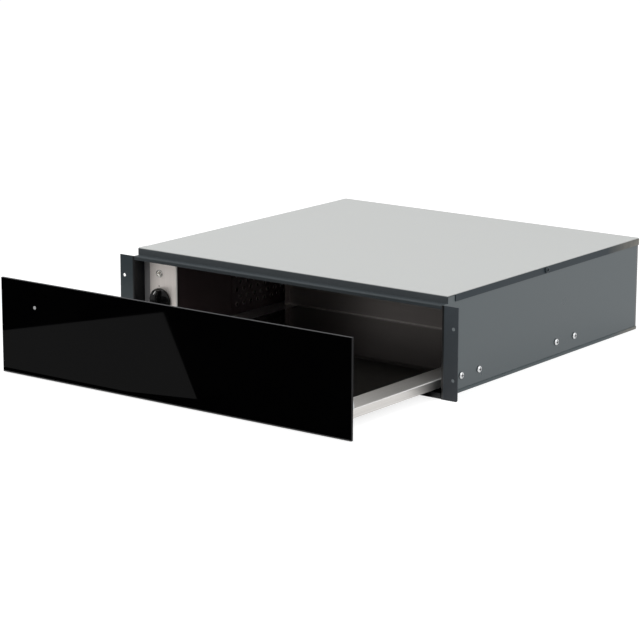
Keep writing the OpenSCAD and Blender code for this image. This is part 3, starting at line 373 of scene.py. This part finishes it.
def wearEnd(tree, place, colour, start, end):
    # bare, handled metal that comes through towards the rear
    patchy = noiseNode(tree, place, wear["patchScale"])
    patchy = rangeNode(tree, patchy, *wear["patches"], wear["least"], 1.0)
    mask = mathNode(tree, "MULTIPLY", axisMask(tree, place, "Y", start, end), patchy)
    return mixColour(tree, mask, colour, wear["colour"])


# the pan's front is painted black as shade under the tray, and the pan is worn at its rear end
panLook = {
    "wear": (0.44, 0.505),                  # both along Y
    "front": (0.008, 0.004),
    "frontShadeColour": (0.008, 0.009, 0.010, 1),
}
tree, shader, place = finishes["panPaint"][1:]
worn = wearEnd(tree, place, fedBy(shader, "Base Color"), *panLook["wear"])
feed(tree, shader.inputs["Base Color"],
     mixColour(tree, axisMask(tree, place, "Y", *panLook["front"]), worn, panLook["frontShadeColour"]))

# the cover is pale above, with charcoal skirts; painted light makes the skirts paler towards the front
# corner
coverLook = {
    "skirt": (0.2682, 0.2686),              # X, to either side
    "skirtColour": (0.013, 0.024, 0.032, 1),
    "corner": (0.0, 0.045),                 # along Y
    "cornerShare": 0.68,
    "wear": (0.425, 0.51),
    "top": (0.1374, 0.1382),                # along Z
    "topColours": ((0.550, 0.566, 0.556, 1), (0.580, 0.592, 0.582, 1)),
}
tree, shader, place = finishes["coverFinish"][1:]
front = fedBy(shader, "Base Color")
near, far = coverLook["skirt"]
sideways = mathNode(tree, "MAXIMUM", axisMask(tree, place, "X", near, far),
                    axisMask(tree, place, "X", -near, -far))
# painted light: the skirts' dark colour fades towards the front corner
skirtLightFade = axisMask(tree, place, "Y", *coverLook["corner"])
skirtLightFade = rangeNode(tree, skirtLightFade, 0, 1, coverLook["cornerShare"], 1.0)
skirts = mixColour(tree, mathNode(tree, "MULTIPLY", sideways, skirtLightFade), front, coverLook["skirtColour"])
skirts = wearEnd(tree, place, skirts, *coverLook["wear"])
pale = mixColour(tree, fedBy(front.node, "Factor"), *coverLook["topColours"])
above = axisMask(tree, place, "Z", *coverLook["top"])
feed(tree, shader.inputs["Base Color"], mixColour(tree, above, skirts, pale))

# the tray's sides carry a painted highlight along their bend
trayLook = {
    "right": (0.2536, 0.254),               # X, the two sides
    "left": (-0.2006, -0.201),
    "floor": (0.0216, 0.022),               # along Z
    "bendHighlightColour": (0.93, 0.92, 0.90, 1),
    "bendRough": 0.1,
    "bendMetal": 0.05,
}
tree, shader, place = finishes["traySteel"][1:]
outer = mathNode(tree, "MAXIMUM", axisMask(tree, place, "X", *trayLook["right"]),
                 axisMask(tree, place, "X", *trayLook["left"]))
highlightBend = mathNode(tree, "MULTIPLY", outer, axisMask(tree, place, "Z", *trayLook["floor"]))
feed(tree, shader.inputs["Base Color"],
     mixColour(tree, highlightBend, fedBy(shader, "Base Color"), trayLook["bendHighlightColour"]))
feed(tree, shader.inputs["Roughness"],
     rangeNode(tree, highlightBend, 0, 1, fedBy(shader, "Roughness"), trayLook["bendRough"]))
feed(tree, shader.inputs["Metallic"],
     rangeNode(tree, highlightBend, 0, 1, shader.inputs["Metallic"].default_value, trayLook["bendMetal"]))

# the tray's rear panel is lighter at its foot
backLook = {"foot": (0.0252, 0.0246), "footColour": (0.42, 0.39, 0.375, 1)}
tree, shader, place = finishes["backSteel"][1:]
foot = axisMask(tree, place, "Z", *backLook["foot"])
feed(tree, shader.inputs["Base Color"],
     mixColour(tree, foot, fedBy(shader, "Base Color"), backLook["footColour"]))

# the fascia's right end: a painted highlight on the corner, then painted shade on the part that turns in
fasciaLook = {
    "corner": (-0.2066, -0.2060),           # both along X
    "cornerColour": (1.0, 0.98, 0.95, 1),
    "turnedIn": (-0.2045, -0.2041),
    "turnedShadeColour": (0.012, 0.012, 0.012, 1),
}
tree, shader, place = finishes["fasciaSteel"][1:]
corner = axisMask(tree, place, "X", *fasciaLook["corner"])
turnedIn = axisMask(tree, place, "X", *fasciaLook["turnedIn"])
feed(tree, shader.inputs["Metallic"],
     rangeNode(tree, corner, 0, 1, shader.inputs["Metallic"].default_value, 0.0))
edged = mixColour(tree, corner, fedBy(shader, "Base Color"), fasciaLook["cornerColour"])
feed(tree, shader.inputs["Base Color"], mixColour(tree, turnedIn, edged, fasciaLook["turnedShadeColour"]))

# the glass front's upper edge is painted lighter: a painted highlight
edgeLook = {"top": (0.1338, 0.1342), "topHighlightColour": (0.044, 0.045, 0.048, 1)}
tree, shader, place = finishes["glassEdge"][1:]
topHighlight = axisMask(tree, place, "Z", *edgeLook["top"])
feed(tree, shader.inputs["Base Color"],
     mixColour(tree, topHighlight, fedBy(shader, "Base Color"), edgeLook["topHighlightColour"]))

# the lens glows faintly as a lit pilot lamp, and the glow also stands in for its highlights as painted
# light; the dark lines between its cut facets are painted reflections
lensLook = {
    "facetScale": 330.0,
    "facetEdge": (0.34, 0.62),
    "facetReflectionColour": (0.22, 0.20, 0.17, 1),
    "glowAndHighlight": 0.48,
}
tree, shader, place = finishes["clearLens"][1:]
facets = tree.nodes.new("ShaderNodeTexVoronoi")
facets.inputs["Scale"].default_value = lensLook["facetScale"]
feed(tree, facets.inputs["Vector"], place)
shade = rangeNode(tree, facets.outputs["Distance"], *lensLook["facetEdge"], 0.0, 1.0)
facetReflections = mixColour(tree, shade, fedBy(shader, "Base Color"), lensLook["facetReflectionColour"])
feed(tree, shader.inputs["Base Color"], facetReflections)
feed(tree, shader.inputs["Emission Color"], facetReflections)
shader.inputs["Emission Strength"].default_value = lensLook["glowAndHighlight"]
print("finishes made:", len(bpy.data.materials))

finishOf = {
    "casePaint": ["right_side_panel", "back_panel"],
    "leftPaint": ["left_side_panel"],
    "panPaint": ["base_pan"],
    "coverFinish": ["top_cover"],
    "railPaint": ["front_top_rail"],
    "insidePaint": ["partition", "hot_air_grille"],
    "traySteel": ["drawer_tray"],
    "backSteel": ["tray_back_panel"],
    "fasciaSteel": ["control_fascia"],
    "bracketPaint": ["fascia_bracket"],
    "zincSteel": ["chamber_ceiling", "left_runner_bracket", "right_runner_bracket", "heater_box",
                  "fan_housing", "thermostat_nut", "thermostat_body", "left_front_bracket",
                  "right_front_bracket"],
    "runnerSteel": ["left_runner_outer", "right_runner_outer", "left_runner_middle", "right_runner_middle",
                    "left_runner_inner", "right_runner_inner"],
    "brightSteel": ["left_lower_cage", "right_lower_cage", "left_upper_cage", "right_upper_cage",
                    "case_screws", "cover_screws", "front_screws"],
    "woolMat": ["insulation_mat"],
    "chrome": ["pilot_lamp_holder"],
    "clearLens": ["pilot_lens"],
    "windowClear": ["indicator_window"],
    "copper": ["sensor_bulb"],
    "darkSteel": ["heater_element"],
    "blackMoulding": ["thermal_cutout", "cable_gland", "latch_body"],
    "motorVarnish": ["fan_motor"],
    "impellerAlloy": ["fan_impeller"],
    "shaftSteel": ["fan_shaft", "knob_spindle"],
    "terminalPlastic": ["terminal_block"],
    "trayGlassBlack": ["tray_glass_plate"],
    "backingPaint": ["front_backing"],
    "frontGlassBlack": ["front_glass"],
    "bumperRubber": ["front_bumpers"],
    "knobPlastic": ["knob"],
    "greyMoulding": ["latch_plunger"],
}
for finish, names in finishOf.items():
    for name in names:
        mesh = nodes[name].data
        mesh.materials.clear()
        mesh.materials.append(finishes[finish][0])
print("finishes laid on:", sum(len(names) for names in finishOf.values()), "nodes")


# the pieces that are modelled here rather than taken from the frame

def placeShape(name, shape):
    mesh = bpy.data.meshes.new(name)
    shape.to_mesh(mesh)
    shape.free()
    thing = bpy.data.objects.new(name, mesh)
    bpy.context.scene.collection.objects.link(thing)
    return thing


def finishPiece(name, shape, finishNames, body, softAngle=None):
    bmesh.ops.recalc_face_normals(shape, faces=shape.faces)
    if softAngle:
        for face in shape.faces:
            face.smooth = True
        for edge in shape.edges:
            inside = len(edge.link_faces) == 2
            edge.smooth = inside and edge.calc_face_angle() < math.radians(softAngle)
    piece = placeShape(name, shape)
    for finish in finishNames:
        piece.data.materials.append(finishes[finish][0])
    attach(piece, body)
    return piece


def vertsOf(geometry):
    return [g for g in geometry if isinstance(g, bmesh.types.BMVert)]


def turnedShape(shape, outline, centre, steps=64):
    # spins an outline of (radius, depth) pairs; depth runs from the viewer along +Y
    ring = [shape.verts.new((centre[0] + r, centre[1] + d, centre[2])) for r, d in outline]
    edges = [shape.edges.new(pair) for pair in zip(ring, ring[1:])]
    bmesh.ops.spin(shape, geom=ring + edges, cent=centre, axis=(0, 1, 0), dvec=(0, 0, 0),
                   angle=math.radians(360), steps=steps, use_merge=True, use_duplicate=False)
    bmesh.ops.remove_doubles(shape, verts=shape.verts[:], dist=1e-6)


def roundEdges(shape, edges, offset, segments):
    bmesh.ops.bevel(shape, geom=edges, offset=offset, offset_type="OFFSET", affect="EDGES",
                    segments=segments, profile=0.5, material=-1)


glass = {
    "low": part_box("front_glass")[0],
    "high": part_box("front_glass")[1],
    "arris": 0.0003,            # ground edge
    "windowX": -0.2359,
    "windowZ": 0.0992,
    "windowR": 0.00251,
}


def makeGlass():
    # slab with ground edges and a round hole for the indicator
    low, high = Vector(glass["low"]), Vector(glass["high"])
    shape = bmesh.new()
    hole = bmesh.ops.create_circle(shape, segments=32, radius=glass["windowR"])["verts"]
    bmesh.ops.rotate(shape, verts=hole, matrix=Matrix.Rotation(math.radians(90), 3, "X"))
    bmesh.ops.translate(shape, verts=hole, vec=(glass["windowX"], low.y, glass["windowZ"]))
    corners = [shape.verts.new(p) for p in ((low.x, low.y, low.z), (high.x, low.y, low.z),
                                            (high.x, low.y, high.z), (low.x, low.y, high.z))]
    for i in range(4):
        shape.edges.new((corners[i], corners[(i + 1) % 4]))
    bmesh.ops.triangle_fill(shape, use_beauty=True, use_dissolve=False, edges=shape.edges)
    thick = bmesh.ops.extrude_face_region(shape, geom=shape.faces[:])
    bmesh.ops.translate(shape, verts=vertsOf(thick["geom"]), vec=(0, high.y - low.y, 0))
    bmesh.ops.recalc_face_normals(shape, faces=shape.faces)
    sharp = [e for e in shape.edges if len(e.link_faces) == 2 and e.calc_face_angle() > 1]
    window = Vector((glass["windowX"], 0, glass["windowZ"]))
    outer = [e for e in sharp if (e.verts[0].co * Vector((1, 0, 1)) - window).length > 4 * glass["windowR"]]
    roundEdges(shape, outer, glass["arris"], 2)
    shape.normal_update()
    for face in shape.faces:
        face.material_index = 1 if abs(face.normal.y) < 0.9 else 0
    return finishPiece("glass_front", shape, ["frontGlassBlack", "glassEdge"], "drawer")


glassFront = makeGlass()
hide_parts("front_glass")
print("glass front made")


knob = {
    "centre": (-0.235, 0.0194, 0.063),      # middle of its base
    "radius": 0.0185,
    "rim": 0.003,
    "arris": 0.0003,                        # round the back of the rim
    "shoulder": (0.0005, 0.0004, 0.0001),   # between rim and dome: before, across and after the rim's depth
    "dome": 0.008,
    "domeSteps": 12,
    "hollow": (0.0084, 0.0042),             # over the clamping nut: radius and depth
    "height": 0.0175,
    "gripWide": 0.009,
    "gripArc": 0.0205,
    "gripReach": 0.017,
    "gripFoot": 0.002,                      # where the grip starts, in front of the base
    "gripSteps": 8,
    "gripRound": 0.0009,
    "mark": (0.0010, 0.0122, 0.0165),       # width, and reach of its two ends
    "markX": 0.0012,                        # to the right of the grip's middle
    "markSteps": 6,
    "markProud": 0.00006,
    "markThick": 0.0003,
}


def makeKnob():
    # turned dome with an upright grip across it, its ends rounded down to the rim
    centre = Vector(knob["centre"])
    shape = bmesh.new()
    r, rim, rise = knob["radius"], knob["rim"], knob["dome"] - knob["rim"]
    arc = (r * r + rise * rise) / (2 * rise)
    before, across, after = knob["shoulder"]
    outline = [(knob["hollow"][0], 0.0), (r - knob["arris"], 0.0), (r, -knob["arris"]), (r, -rim + before),
               (r - across, -rim - after)]
    for i in range(1, knob["domeSteps"] + 1):
        reach = (r - across) * (1 - i / knob["domeSteps"])
        outline.append((reach, -(rim + math.sqrt(arc * arc - reach * reach) - arc + rise)))
    wide, deep = knob["hollow"]
    turnedShape(shape, outline, centre)
    turnedShape(shape, [(0.0, -deep), (wide, -deep), (wide, 0.0)], centre)
    bmesh.ops.remove_doubles(shape, verts=shape.verts[:], dist=1e-6)
    # the grip's outline in depth and height, then its width
    low = math.acos(knob["gripReach"] / knob["gripArc"])
    high = math.asin(knob["height"] / knob["gripArc"])
    turns = [low + (high - low) * i / knob["gripSteps"] for i in range(knob["gripSteps"] + 1)]
    side = [(-knob["gripFoot"], knob["gripReach"])]
    side += [(-knob["gripArc"] * math.sin(a), knob["gripArc"] * math.cos(a)) for a in turns]
    side += [(d, -z) for d, z in reversed(side)]
    left = centre.x - knob["gripWide"] / 2
    corners = [shape.verts.new((left, centre.y + d, centre.z + z)) for d, z in side]
    wall = shape.faces.new(corners)
    grown = bmesh.ops.extrude_face_region(shape, geom=[wall])
    moved = vertsOf(grown["geom"])
    bmesh.ops.translate(shape, verts=moved, vec=(knob["gripWide"], 0, 0))
    grip = set(corners) | set(moved)
    long = [e for e in shape.edges if set(e.verts) <= grip and len(e.link_faces) == 2
            and abs(e.verts[0].co.x - e.verts[1].co.x) < 1e-6]
    roundEdges(shape, long, knob["gripRound"], 3)
    return finishPiece("thermostat_grip", shape, ["knobPlastic"], "thermostat_knob", 35)


def makeMark():
    # white line let into the upper end of the grip
    centre = Vector(knob["centre"]) + Vector((knob["markX"], 0, 0))
    wide, inner, outer = knob["mark"]
    shape = bmesh.new()
    low, high = math.acos(outer / knob["gripArc"]), math.acos(inner / knob["gripArc"])
    reach = knob["gripArc"] + knob["markProud"]
    rows = []
    for i in range(knob["markSteps"] + 1):
        angle = low + (high - low) * i / knob["markSteps"]
        rows.append(shape.verts.new((centre.x - wide / 2, centre.y - reach * math.sin(angle),
                                     centre.z + reach * math.cos(angle))))
    edges = [shape.edges.new(pair) for pair in zip(rows, rows[1:])]
    grown = bmesh.ops.extrude_edge_only(shape, edges=edges)
    bmesh.ops.translate(shape, verts=vertsOf(grown["geom"]), vec=(wide, 0, 0))
    bmesh.ops.solidify(shape, geom=shape.faces[:], thickness=knob["markThick"])
    return finishPiece("grip_mark", shape, ["markWhite"], "thermostat_knob", 35)


knobPiece = makeKnob()
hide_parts("knob")
makeMark()
print("knob made")

lamp = {
    "centre": (-0.2365, 0.020, 0.1028),     # on the fascia
    "radius": 0.00575,
    "wall": 0.001,
    "back": 0.002,              # its neck's reach behind the fascia
    "seat": 0.0001,             # the rim's back, just inside the fascia's face
    "lip": 0.0004,              # the rim's front, before it rolls over
    "roll": 0.0009,
    "rollTurns": [22 * i for i in range(1, 7)],     # degrees
    "lens": 0.0037,
    "lensGap": 0.0001,
    "bore": (-0.0006, 0.006),   # front and back of the hole round the lens
}


def makeLamp():
    # turned bezel with a rolled rim, deep enough for the lens to sit in
    r, roll, hole = lamp["radius"], lamp["roll"], lamp["lens"] + lamp["lensGap"]
    shape = bmesh.new()
    outline = [(r - lamp["wall"], lamp["back"]), (r - lamp["wall"], lamp["seat"]), (r, lamp["seat"]),
               (r, -lamp["lip"])]
    outline += [(r - roll + roll * math.cos(a), -lamp["lip"] - roll * math.sin(a))
                for a in map(math.radians, lamp["rollTurns"])]
    outline += [(hole, end) for end in lamp["bore"]]
    turnedShape(shape, outline, Vector(lamp["centre"]))
    return finishPiece("lamp_bezel", shape, ["chrome"], "case", 40)


makeLamp()
print("lamp bezel made")

dot = {"place": (-0.2376, 0.0200, 0.0842), "radius": 0.0009, "thick": 0.00008}


def makeDot():
    # printed point on the fascia that the knob's line is set against
    shape = bmesh.new()
    bmesh.ops.create_cone(shape, cap_ends=True, segments=24, radius1=dot["radius"], radius2=dot["radius"],
                          depth=dot["thick"])
    bmesh.ops.rotate(shape, verts=shape.verts[:], matrix=Matrix.Rotation(math.radians(90), 3, "X"))
    bmesh.ops.translate(shape, verts=shape.verts[:], vec=dot["place"])
    return finishPiece("fascia_dot", shape, ["recessDark"], "case")


makeDot()
print("fascia dot made")


grille = {
    "plate": -0.2042,           # face of the perforated sheet
    "firstY": 0.158, "pitchY": 0.0165, "columns": 8,
    "firstZ": 0.0375, "pitchZ": 0.011, "rows": 6,
    "hole": 0.00302, "rim": 0.0005, "rise": 0.0004,
    "crown": [(0.0, 0.6), (0.3, 1.0), (0.8, 0.7)],      # a lip's top, in shares of rim and rise
    "foot": 1.4,                                        # its outer edge, in shares of rim
    "flush": 0.00002, "sunk": 0.0002,                   # how deep that edge and the foot lie in the sheet
}


def makeRims():
    # pressed lips round the holes of the grille, in a lighter steel that gives them painted highlights
    rim, hole, foot = grille["rim"], grille["hole"], grille["hole"] + grille["rim"] * grille["foot"]
    start = (hole, -grille["sunk"])
    outline = [start] + [(hole + rim * a, grille["rise"] * b) for a, b in grille["crown"]]
    outline += [(foot, -grille["flush"]), (foot, -grille["sunk"]), start]
    shape = bmesh.new()
    turnedShape(shape, outline, Vector((0, 0, 0)), 16)
    bmesh.ops.rotate(shape, verts=shape.verts[:], matrix=Matrix.Rotation(math.radians(90), 3, "Z"))
    bmesh.ops.scale(shape, verts=shape.verts[:], vec=(-1, 1, 1))
    one = shape.verts[:] + shape.edges[:] + shape.faces[:]
    length = (grille["columns"] - 1) * grille["pitchY"]
    for row in range(grille["rows"]):
        shift = grille["pitchY"] / 2 if row % 2 else 0.0
        for column in range(grille["columns"]):
            along = column * grille["pitchY"] + shift
            if along <= length + 1e-6:
                copied = bmesh.ops.duplicate(shape, geom=one)["geom"]
                bmesh.ops.translate(shape, verts=vertsOf(copied),
                                    vec=(grille["plate"], grille["firstY"] + along,
                                         grille["firstZ"] + row * grille["pitchZ"]))
    bmesh.ops.delete(shape, geom=vertsOf(one), context="VERTS")
    return finishPiece("grille_lips", shape, ["grilleLip"], "case", 60)


makeRims()
print("grille lips made")


panHead = {
    "radius": 0.0048,
    "height": 0.0026,
    "dome": (0.35, 0.65, 2.6),  # the edge's share of the height, the dome's, and its power
    "cells": 14,
    "arm": (1, 4),              # half width and reach of the cross, in cells
    "recess": 0.0012,
    "shank": 0.0019,
    "shankUp": 0.0001,          # how far the shank goes into the head
}


def makeHead(shape, place, out, scale, length):
    # square grid rounded to a disc, domed, with a cross-shaped recess; out is the way it faces
    cells = panHead["cells"]
    before = set(shape.verts)
    bmesh.ops.create_grid(shape, x_segments=cells, y_segments=cells, size=1.0)
    verts = [v for v in shape.verts if v not in before]
    faces = {f for v in verts for f in v.link_faces}
    wide, reach = (arm * 2.0 / cells for arm in panHead["arm"])
    cross = []
    for f in faces:
        middle = f.calc_center_median()
        near, far = sorted((abs(middle.x), abs(middle.y)))
        if near < wide and far < reach:
            cross.append(f)
    edge, dome, power = panHead["dome"]
    for v in verts:
        x, y = v.co.x, v.co.y
        v.co = Vector((x * math.sqrt(1 - y * y / 2), y * math.sqrt(1 - x * x / 2), 0))
        away = min(1.0, v.co.length)
        v.co *= panHead["radius"]
        v.co.z = panHead["height"] * (edge + dome * math.sqrt(max(0.0, 1 - away ** power)))
    rim = list({e for v in verts for e in v.link_edges if len(e.link_faces) == 1})
    skirt = bmesh.ops.extrude_edge_only(shape, edges=rim)
    for v in vertsOf(skirt["geom"]):
        v.co.z = 0
    under = [g for g in skirt["geom"] if isinstance(g, bmesh.types.BMEdge)
             and all(v.co.z == 0 for v in g.verts)]
    bmesh.ops.contextual_create(shape, geom=under)
    # the skirt and underside take the second finish, a painted shadow round the head
    for f in {f for e in under for f in e.link_faces}:
        f.material_index = 1
    sunk = bmesh.ops.extrude_face_region(shape, geom=cross)
    low = vertsOf(sunk["geom"])
    bmesh.ops.translate(shape, verts=low, vec=(0, 0, -panHead["recess"]))
    bmesh.ops.delete(shape, geom=cross, context="FACES")
    # the cross recess takes it too, painted shade
    for f in {f for v in low for f in v.link_faces}:
        f.material_index = 1
    shaft = Matrix.Translation((0, 0, panHead["shankUp"] - length / 2))
    bmesh.ops.create_cone(shape, cap_ends=True, segments=16, radius1=panHead["shank"],
                          radius2=panHead["shank"], depth=length, matrix=shaft)
    made = [v for v in shape.verts if v not in before]
    turn = Vector((0, 0, 1)).rotation_difference(Vector(out)).to_matrix()
    bmesh.ops.scale(shape, verts=made, vec=(scale, scale, scale))
    bmesh.ops.rotate(shape, verts=made, matrix=turn)
    bmesh.ops.translate(shape, verts=made, vec=place)


screws = {      # finish and body, scale and shank length of a head, then the place and facing of each
    "case_screws": {
        "finish": "screwZinc", "body": "case", "scale": 1.0, "length": 0.004,
        "places": [((0.268, y, 0.0235), (1, 0, 0)) for y in (0.0475, 0.091, 0.290, 0.339)]
                  + [((-0.268, 0.034, z), (-1, 0, 0)) for z in (0.034, 0.096)],
        "rivets": (-0.21, -0.2),        # X: the left bracket's four rivets are kept as the part has them
    },
    "cover_screws": {
        "finish": "screwPaint", "body": "case", "scale": 1.0, "length": 0.004,
        "places": [((x, 0.517, 0.1333), (0, 1, 0)) for x in (-0.238, -0.119, 0.0, 0.119, 0.238)]
                  + [((side * 0.269, 0.2585, 0.1333), (side, 0, 0)) for side in (-1, 1)],
    },
    "front_screws": {
        "finish": "screwZinc", "body": "drawer", "scale": 7 / 9.6, "length": 0.0105,
        "places": [((x, -0.2252, 0.043), (0, 1, 0)) for x in (-0.12583, 0.0265, 0.17883)]
                  + [((x, -0.2247, z), (0, 1, 0)) for x in (-0.191, 0.244) for z in (0.0458, 0.07924)],
    },
}


def makeScrews(node, row):
    shape = bmesh.new()
    if "rivets" in row:
        low, high = row["rivets"]
        shape.from_mesh(nodes[node].data)
        bmesh.ops.remove_doubles(shape, verts=shape.verts[:], dist=1e-6)
        others = [v for v in shape.verts if not low < v.co.x < high]
        bmesh.ops.delete(shape, geom=others, context="VERTS")
        for face in shape.faces:
            face.material_index = 0
    for place, out in row["places"]:
        makeHead(shape, place, out, row["scale"], row["length"])
    bmesh.ops.remove_doubles(shape, verts=shape.verts[:], dist=1e-6)
    name = node.replace("screws", "pan_heads")
    return finishPiece(name, shape, [row["finish"], "recessDark"], row["body"], 50)


for node, row in screws.items():
    heads = makeScrews(node, row)
    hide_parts(node)
print("screw heads made")


# the studio: a pale floor and world, two lamps, and cards that only show mirrored

studio = {
    "world": 0.495,             # strength for the lit surfaces; what is seen straight or mirrored gets 1
    "floorSize": 12,
    "floorColours": ((0.43, 0.43, 0.43, 1), (0.45, 0.45, 0.45, 1)),
    "floorPatch": 3.0,
    "floorGlow": 0.8,
    "lamps": {
        "keyLamp": {"place": (-1.2, -0.6, 2.6), "size": (2.2, 1.6), "power": 34, "at": (0, 0.15, 0.1)},
        "rightLamp": {"place": (2.6, 0.6, 1.3), "size": (1.8, 1.4), "power": 26, "at": (0.2, 0.2, 0.08)},
    },
    # cards seen only in mirrors: the dark and grey ones paint reflections in the glass, the one under the
    # tray paints the shade on the floor beneath it
    "cards": {                  # height and strength, then the corners on the floor
        "darkCard": (0.0006, 0.0, [(-1.6, -0.25), (0.45, -0.25), (0.45, -1.5), (-1.6, -1.9)]),
        "underCard": (0.0006, 0.0, [(-0.29, -0.238), (0.25, -0.238), (0.25, 0.0), (-0.29, 0.0)]),
        "greyCard": (0.0012, 0.15, [(-0.62, -0.262), (-0.468, -0.424), (-0.36, -0.659), (0.012, -0.288),
                                    (-0.09, -0.262)]),
    },
}


def areaLamp(name, data):
    light = bpy.data.lights.new(name, "AREA")
    light.shape = "RECTANGLE"
    light.size, light.size_y = data["size"]
    light.energy = data["power"]
    thing = bpy.data.objects.new(name, light)
    bpy.context.scene.collection.objects.link(thing)
    thing.location = data["place"]
    aim = Vector(data["at"]) - Vector(data["place"])
    thing.rotation_euler = aim.to_track_quat("-Z", "Y").to_euler()


def seenDirectly(tree):
    # 1 for what the camera sees, straight, mirrored or through glass
    path = tree.nodes.new("ShaderNodeLightPath").outputs
    seen = mathNode(tree, "MAXIMUM", path["Is Camera Ray"], path["Is Glossy Ray"])
    return mathNode(tree, "MAXIMUM", seen, path["Is Transmission Ray"])


def makeWorld():
    world = bpy.data.worlds.new("studio")
    bpy.context.scene.world = world
    world.use_nodes = True
    tree = world.node_tree
    background = tree.nodes["Background"].inputs
    feed(tree, background["Color"], (1, 1, 1, 1))
    feed(tree, background["Strength"], rangeNode(tree, seenDirectly(tree), 0, 1, studio["world"], 1.0))


def bareMaterial(name):
    # a material without a shader, and the socket that takes one
    material = bpy.data.materials.new(name)
    material.use_nodes = True
    tree = material.node_tree
    tree.nodes.remove(tree.nodes["Principled BSDF"])
    return material, tree, tree.nodes["Material Output"].inputs["Surface"]


def makeFloor():
    shape = bmesh.new()
    bmesh.ops.create_grid(shape, x_segments=1, y_segments=1, size=studio["floorSize"])
    floor = placeShape("floor", shape)
    material, tree, surface = bareMaterial("paleFloor")
    place = tree.nodes.new("ShaderNodeTexCoord").outputs["Object"]
    matt = tree.nodes.new("ShaderNodeBsdfDiffuse")
    patches = noiseNode(tree, place, studio["floorPatch"])
    feed(tree, matt.inputs["Color"], mixColour(tree, patches, *studio["floorColours"]))
    lit = tree.nodes.new("ShaderNodeEmission")
    feed(tree, lit.inputs["Strength"], mathNode(tree, "MULTIPLY", seenDirectly(tree), studio["floorGlow"]))
    both = tree.nodes.new("ShaderNodeAddShader")
    feed(tree, both.inputs[0], matt.outputs[0])
    feed(tree, both.inputs[1], lit.outputs[0])
    feed(tree, surface, both.outputs[0])
    floor.data.materials.append(material)


def reflectedCard(name, height, strength, corners):
    shape = bmesh.new()
    shape.faces.new([shape.verts.new((x, y, height)) for x, y in corners])
    bmesh.ops.recalc_face_normals(shape, faces=shape.faces)
    card = placeShape(name, shape)
    card.visible_camera = False
    card.visible_diffuse = False
    card.visible_shadow = False
    card.visible_transmission = False
    material, tree, surface = bareMaterial(name)
    lit = tree.nodes.new("ShaderNodeEmission")
    lit.inputs["Strength"].default_value = strength
    feed(tree, surface, lit.outputs[0])
    card.data.materials.append(material)


for name, data in studio["lamps"].items():
    areaLamp(name, data)
makeWorld()
makeFloor()
for name, (height, strength, corners) in studio["cards"].items():
    reflectedCard(name, height, strength, corners)
bpy.context.scene.view_settings.view_transform = "Standard"
print("studio built")
